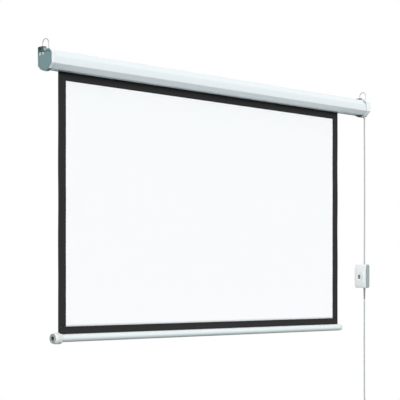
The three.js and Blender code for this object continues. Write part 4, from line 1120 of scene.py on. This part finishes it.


# %% [markdown]
# The caps are white like the casing. Their outer ends, their undersides near the end and the walls of
# the recess get a grey-green that is painted shade, by which way a face looks: where its normal points
# outwards along the casing, down near its end, or towards the middle of the end as the recess's walls
# do. At the very back, lower down, a band of painted light takes back up to half of that grey. Faces
# that look back along the casing, and the rear horn, get a darker painted shade still.

# %% Painted shade on the caps' ends
# Painted shade: the grey-green of the caps' ends and the darker grey of their inward faces
end_shade_grey, unlit_grey = colour(118, 144, 146), colour(74, 94, 92)
cap_end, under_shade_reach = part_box("right_end_cap")[1].x, 16 * MM
# Painted light: a band at the rear, lower down, where the grey gives way to white
lit_band_start, lit_band_end = casing_low.y + 62 * MM, casing_low.y + 67 * MM
lit_band_top, lit_band_bottom, lit_band_share = 18 * MM, -30 * MM, 0.5
horn_start, horn_low = spot(38 * MM, 54 * MM)
horn_end, horn_high = spot(46 * MM, 71 * MM)
middle_y, middle_z = spot(casing_depth / 2, casing_height / 2)
facing_slope, inward_share, wall_limit = 8.0, 0.6, -1 * MM


def parted(tree, kind):
    """Object coordinates, or the normal, as three numbers."""
    return apart(tree, place_of(tree, kind))


def faces_along(tree, amount, start=0.7):
    """slope * (amount - start), held between 0 and 1, for a normal's share along some axis."""
    return maths(tree, "MULTIPLY_ADD", amount, facing_slope, -facing_slope * start, clamp=True)


def from_line(tree, where, y, z):
    """The way to each point from a line that runs along X."""
    sources = {1: maths(tree, "SUBTRACT", where["Y"], y), 2: maths(tree, "SUBTRACT", where["Z"], z)}
    return added(tree, "ShaderNodeCombineXYZ", sources).outputs[0]


def cap_end_shade(tree, paint):
    """Painted shade: end_shade = how far the normal's x, or its way down, is above 0.7, less the lit
    band of painted light. The walls of the recess look at the middle: there, the way from the middle
    times the normal is negative. Inward faces and the rear horn get a darker painted shade."""
    where, facing = parted(tree, "Object"), parted(tree, "Normal")
    outwards = maths(tree, "MULTIPLY", facing["X"], maths(tree, "SIGN", where["X"]))
    from_end = maths(tree, "SUBTRACT", cap_end, maths(tree, "ABSOLUTE", where["X"]))
    near_end = maths(tree, "LESS_THAN", from_end, under_shade_reach)
    downwards = maths(tree, "MULTIPLY", facing["Z"], maths(tree, "MULTIPLY", near_end, -1.0))
    # Painted shade on faces that look outwards along the casing, or down near the end
    end_shade = faces_along(tree, maths(tree, "MAXIMUM", outwards, downwards))
    # Painted light in the band at the rear
    lit_band = ranged(tree, where["Y"], lit_band_start, lit_band_end)
    low_lit_band = ranged(tree, where["Z"], lit_band_top, lit_band_bottom, 0.0, lit_band_share)
    lit_band_amount = maths(tree, "MULTIPLY", lit_band, low_lit_band, clamp=True)
    kept = maths(tree, "MULTIPLY", end_shade, maths(tree, "SUBTRACT", 1.0, lit_band_amount))
    from_middle = from_line(tree, where, middle_y, middle_z)
    away = vector_maths(tree, "DOT_PRODUCT", place_of(tree, "Normal"), from_middle)
    # Painted shade on the recess's walls
    recess_shade = maths(tree, "LESS_THAN", away, wall_limit)
    painted = overlaid(tree, maths(tree, "MAXIMUM", kept, recess_shade), paint, end_shade_grey)
    # Darker painted shade on the rear horn and on faces that look back along the casing
    horn_shade = maths(tree, "MULTIPLY", ranged(tree, where["Y"], horn_start, horn_end),
                 ranged(tree, where["Z"], horn_low, horn_high))
    inwards = faces_along(tree, maths(tree, "MULTIPLY", outwards, -1.0))
    under_casing = maths(tree, "LESS_THAN", where["Z"], casing_low.z)
    unlit = maths(tree, "MULTIPLY_ADD", under_casing, 1 - inward_share, inward_share)
    shaded = maths(tree, "MAXIMUM", maths(tree, "MULTIPLY", inwards, unlit), horn_shade)
    return overlaid(tree, shaded, painted, unlit_grey)


# %% [markdown]
# The knob's outer face is greyer than its sides, and its deep hole is dark: both are painted shade.
# The switch plate's sides and the shell behind it share a grey of painted shade. The bar's underside
# gets painted shade that grows as it turns down.

# %% Painted shade: knob's face, plate's sides and bar's underside
# Painted shade: the greys of the knob's face and hole, and of the box's side
knob_face_shade, hole_shade, box_side_shade = colour(146, 154, 151), colour(58, 68, 65), colour(150, 163, 163)
# Painted shade: the greyer white under the bar
under_shade_white, sideways_start = colour(186, 193, 188), 0.3
face_limit, hole_limit = knob_left + hole_depth + 0.5 * MM, hole_radius + 0.4 * MM


def knob_painted_shade(tree, white):
    """Painted shade: grey where the normal looks along -X at the knob's end, dark within the hole's
    radius.
    """
    where, facing = parted(tree, "Object"), parted(tree, "Normal")
    end_face = faces_along(tree, maths(tree, "MULTIPLY", facing["X"], -1.0))
    at_end = maths(tree, "LESS_THAN", where["X"], face_limit)
    reach = vector_maths(tree, "LENGTH", from_line(tree, where, bar_y, bar_z))
    in_hole = maths(tree, "LESS_THAN", reach, hole_limit)
    greyed = overlaid(tree, maths(tree, "MULTIPLY", end_face, at_end), white, knob_face_shade)
    return overlaid(tree, maths(tree, "MULTIPLY", in_hole, at_end), greyed, hole_shade)


def plate_side_shade(tree, white):
    """Painted shade: the shell's grey where the normal runs along the box's width."""
    along = vector_maths(tree, "DOT_PRODUCT", place_of(tree, "Normal"), tuple(box_axes[0]))
    sideways = faces_along(tree, maths(tree, "ABSOLUTE", along), sideways_start)
    return overlaid(tree, sideways, white, box_side_shade)


def painted_under_shade(tree, white):
    """Painted shade: a greyer white gains on the paint as the normal turns from level to straight down.
    """
    down = maths(tree, "MULTIPLY", parted(tree, "Normal")["Z"], -1.0, clamp=True)
    return overlaid(tree, down, white, under_shade_white)


# %% Paints and plastics
finish("casing_paint", colour(236, 242, 244), 0.5, 2.2 * MM, 0.10, variation=0.02, dustiness=0.06,
       specular=0.15)
# The caps and their covers carry the painted shade of their ends; the covers' grey is that painted shade
finish("cap_plastic", colour(245, 249, 251), 0.55, 0.6 * MM, 0.25, variation=0.05, specular=0.15,
       masked=cap_end_shade)
finish("grey_plastic", end_shade_grey, 0.55, 0.5 * MM, 0.3, variation=0.08, masked=cap_end_shade)
finish("adjuster_plastic", colour(170, 187, 191), 0.5, 0.5 * MM, 0.25, variation=0.06)
# Painted shade on the bar's underside
finish("bar_paint", colour(232, 239, 240), 0.45, 2.2 * MM, 0.10, variation=0.03, specular=0.2,
       masked=painted_under_shade)
# Painted shade on the knob's end face and in its hole
finish("knob_plastic", colour(222, 227, 225), 0.45, 0.5 * MM, 0.15, variation=0.05, specular=0.25,
       masked=knob_painted_shade)
finish("dark_plastic", colour(62, 65, 68), 0.5, 0.5 * MM, 0.3, variation=0.15)
# Painted shade on the switch plate's sides
finish("switch_plastic", colour(253, 255, 255), 0.32, 0.7 * MM, 0.15, variation=0.03,
       masked=plate_side_shade)
# The shell's grey is painted shade on white plastic
finish("switch_shell_plastic", box_side_shade, 0.5, 0.6 * MM, 0.3, variation=0.06)
finish("rocker_plastic", colour(112, 116, 117), 0.32, 0.6 * MM, 0.15, variation=0.1)
finish("tie_plastic", colour(40, 41, 42), 0.45, 0.5 * MM, 0.3, variation=0.15)
finish("relief_rubber", colour(122, 126, 125), 0.62, 0.5 * MM, 0.3, variation=0.1)
finish("plug_rubber", colour(74, 76, 78), 0.55, 0.5 * MM, 0.35, variation=0.15)
print("finishes:", len(finishes))

# %% Metals
finish("screw_steel", colour(206, 207, 208), 0.36, 0.4 * MM, 0.2, variation=0.12, metallic=1.0)
finish("bail_steel", colour(146, 148, 150), 0.45, 0.5 * MM, 0.12, variation=0.1, metallic=1.0,
       coordinates="UV")
finish("roller_steel", colour(196, 198, 200), 0.42, 9 * MM, 0.05, variation=0.3, metallic=1.0)
finish("motor_steel", colour(186, 188, 190), 0.4, 1.2 * MM, 0.1, variation=0.15, metallic=1.0)
finish("pin_steel", colour(222, 220, 214), 0.22, 0.6 * MM, 0.08, variation=0.08, metallic=1.0)

# %% [markdown]
# The cord's sheath is drawn out of a machine, so its faint marks run along it. Its flat map runs
# along the cord, and the noise is stretched that way.

# %% Cord
finish("cable_sheath", colour(171, 175, 176), 0.48, 0.9 * MM, 0.2, variation=0.1, dustiness=0.12,
       coordinates="UV")

# %% [markdown]
# The cloth's front is the only printed surface. White or black is decided by the place on the flat
# map, in metres from its upper left corner, so the field keeps its edges in any pose. Its back is
# black throughout, as a light-tight cloth is.

# %% Cloth
field_low, field_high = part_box("viewing_fabric")
field_left, field_right = field_low.x - sheet_low.x, field_high.x - sheet_low.x
field_top = sheet_high.z - field_high.z
cloth_white, cloth_black = colour(255, 255, 255), colour(46, 46, 46)
print_edge, thread, weave_relief = 0.6 * MM, 0.9 * MM, 0.15
black_range, white_range, rough_range = (0.86, 1.14), (0.99, 1.0), (0.82, 0.95)


def stepped(tree, value, threshold, way):
    """0 before the threshold and 1 beyond it, over the width of a printed edge. way is 1, or -1 where
    the two change places."""
    half_edge = way * print_edge / 2
    return ranged(tree, value, threshold - half_edge, threshold + half_edge)


def cloth(slot, printed):
    """Black cloth with its weave, and the white field where it is printed."""
    tree, shader = new_finish(slot, 0.0, 0.12)
    flat = place_of(tree, "UV")
    woven = with_group(tree, weave, {"Place": flat, "Thread": thread})

    def stirred(low, high):
        return ranged(tree, woven["Shade"], 0.0, 1.0, low, high)

    surface = vector_maths(tree, "SCALE", cloth_black[:3], Scale=stirred(*black_range))
    if printed:
        where = apart(tree, flat)
        inside = maths(tree, "MULTIPLY", stepped(tree, where["X"], field_left, 1),
                       stepped(tree, where["X"], field_right, -1))
        inside = maths(tree, "MULTIPLY", inside, stepped(tree, where["Y"], field_top, 1))
        white = vector_maths(tree, "SCALE", cloth_white[:3], Scale=stirred(*white_range))
        surface = overlaid(tree, inside, surface, white)
    rough = stirred(*rough_range)
    surfaced(tree, shader, surface, rough, woven["Height"], weave_relief, weave_depth)


cloth("white_fabric", True)
cloth("black_fabric", False)

# %% Every piece gets the finish of its slot
for name, node in frame["nodes"].items():
    for place in node.material_slots:
        place.material = finishes[node_slots[name]]
for piece in bpy.context.scene.objects:
    if "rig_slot" in piece and piece.type == "MESH" and not piece.material_slots:
        piece.data.materials.append(finishes[piece["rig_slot"]])
sheet.data.materials.append(finishes["black_fabric"])

# %% [markdown]
# ## Light and floor
# The light is plain: a broad, even brightness from all round, stronger from above, a soft sun from
# the front left and a weak one from behind. The world shows itself white to the camera and in
# reflections, but lights with a softer colour, so that the undersides stay darker. From below that
# colour is a cool one.

# %% World
sky_above, sky_below, below_tint = 0.56, 0.11, (0.78, 1.12, 1.26, 1.0)
level_start, level_end, tint_end = -0.5, 0.5, 0.3


def seen_rays(tree):
    """1 for the camera's rays and for mirrored ones, 0 for the light that falls on a surface."""
    path = added(tree, "ShaderNodeLightPath").outputs
    mirrored = maths(tree, "MAXIMUM", path["Is Glossy Ray"], path["Is Transmission Ray"])
    return maths(tree, "MAXIMUM", path["Is Camera Ray"], mirrored)


world = bpy.data.worlds.new("studio")
world.use_nodes = True
bpy.context.scene.world = world
sky = world.node_tree
height = apart(sky, added(sky, "ShaderNodeTexCoord").outputs["Generated"])["Z"]
level = ranged(sky, height, level_start, level_end, sky_below, sky_above,
               interpolation_type="SMOOTHSTEP")
seen = seen_rays(sky)
white_share = maths(sky, "MAXIMUM", ranged(sky, height, level_start, tint_end), seen)
fed(sky, sky.nodes["Background"], {
    "Strength": ranged(sky, seen, 0.0, 1.0, level, 1.0),
    "Color": overlaid(sky, white_share, below_tint, (1, 1, 1, 1)),
})
print("sky nodes:", len(sky.nodes))


# %% Two soft suns
def sun(name, parts, softness):
    """A sun that shines from the direction of its parts, with the strength pi * their length."""
    data = bpy.data.lights.new(name, "SUN")
    data.energy = math.pi * np.linalg.norm(parts)
    data.angle = math.radians(softness)
    away = unit(np.array(parts))
    in_scene(name, data).rotation_euler = (math.acos(away[2]), 0, math.atan2(away[0], -away[1]))
    print(name, "sun:", round(data.energy, 2))


sun("key", (-0.55, -0.625, 0.18), 24)
sun("fill", (0.3, 0.35, 0.1), 50)

# %% Floor
floor_height, floor_radius, floor_sides = -2.2, 3.2, 96
fade_start, fade_end = 1.4, 0.98 * floor_radius
floor_ring = on_circle(np.arange(floor_sides) / floor_sides * TURN, floor_radius)
floor_ring = np.column_stack([floor_ring, np.full(floor_sides, floor_height)])
floor_mesh = bpy.data.meshes.new("floor")
floor_mesh.from_pydata(floor_ring.tolist(), [], [list(range(floor_sides))])
floor = in_scene("floor", floor_mesh)
floor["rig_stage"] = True

floor_material = bpy.data.materials.new("pale floor")
floor_material.use_nodes = True
ground = floor_material.node_tree
shader = ground.nodes["Principled BSDF"]
seen = seen_rays(ground)
fed(ground, shader, {
    "Base Color": overlaid(ground, seen, colour(96, 111, 117), colour(244, 244, 244)),
    "Roughness": 0.95, "Specular IOR Level": 0.0,
})
place = added(ground, "ShaderNodeTexCoord").outputs["Object"]
from_centre = vector_maths(ground, "LENGTH", vector_maths(ground, "MULTIPLY", place, (1, 1, 0)))
fade = ranged(ground, from_centre, fade_start, fade_end, interpolation_type="SMOOTHSTEP")
glow = added(ground, "ShaderNodeEmission", {"Strength": ranged(ground, seen, 0.0, 1.0, sky_below, 1.0)})
blend = added(ground, "ShaderNodeMixShader", {0: fade, 1: shader.outputs[0], 2: glow.outputs[0]})
fed(ground, ground.nodes["Material Output"], {"Surface": blend.outputs[0]})
floor_mesh.materials.append(floor_material)
print("floor nodes:", len(ground.nodes))

# %% View settings
bpy.context.scene.view_settings.view_transform = "Standard"

# %% [markdown]
# ## The last lines
# The size of the finished model is printed beside the size of the plain solids.

# %% Sizes and finish
sizes = {"cad": [list(corner) for corner in cad_box],
         "visual": [list(corner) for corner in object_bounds()]}
print("sizes:", sizes)
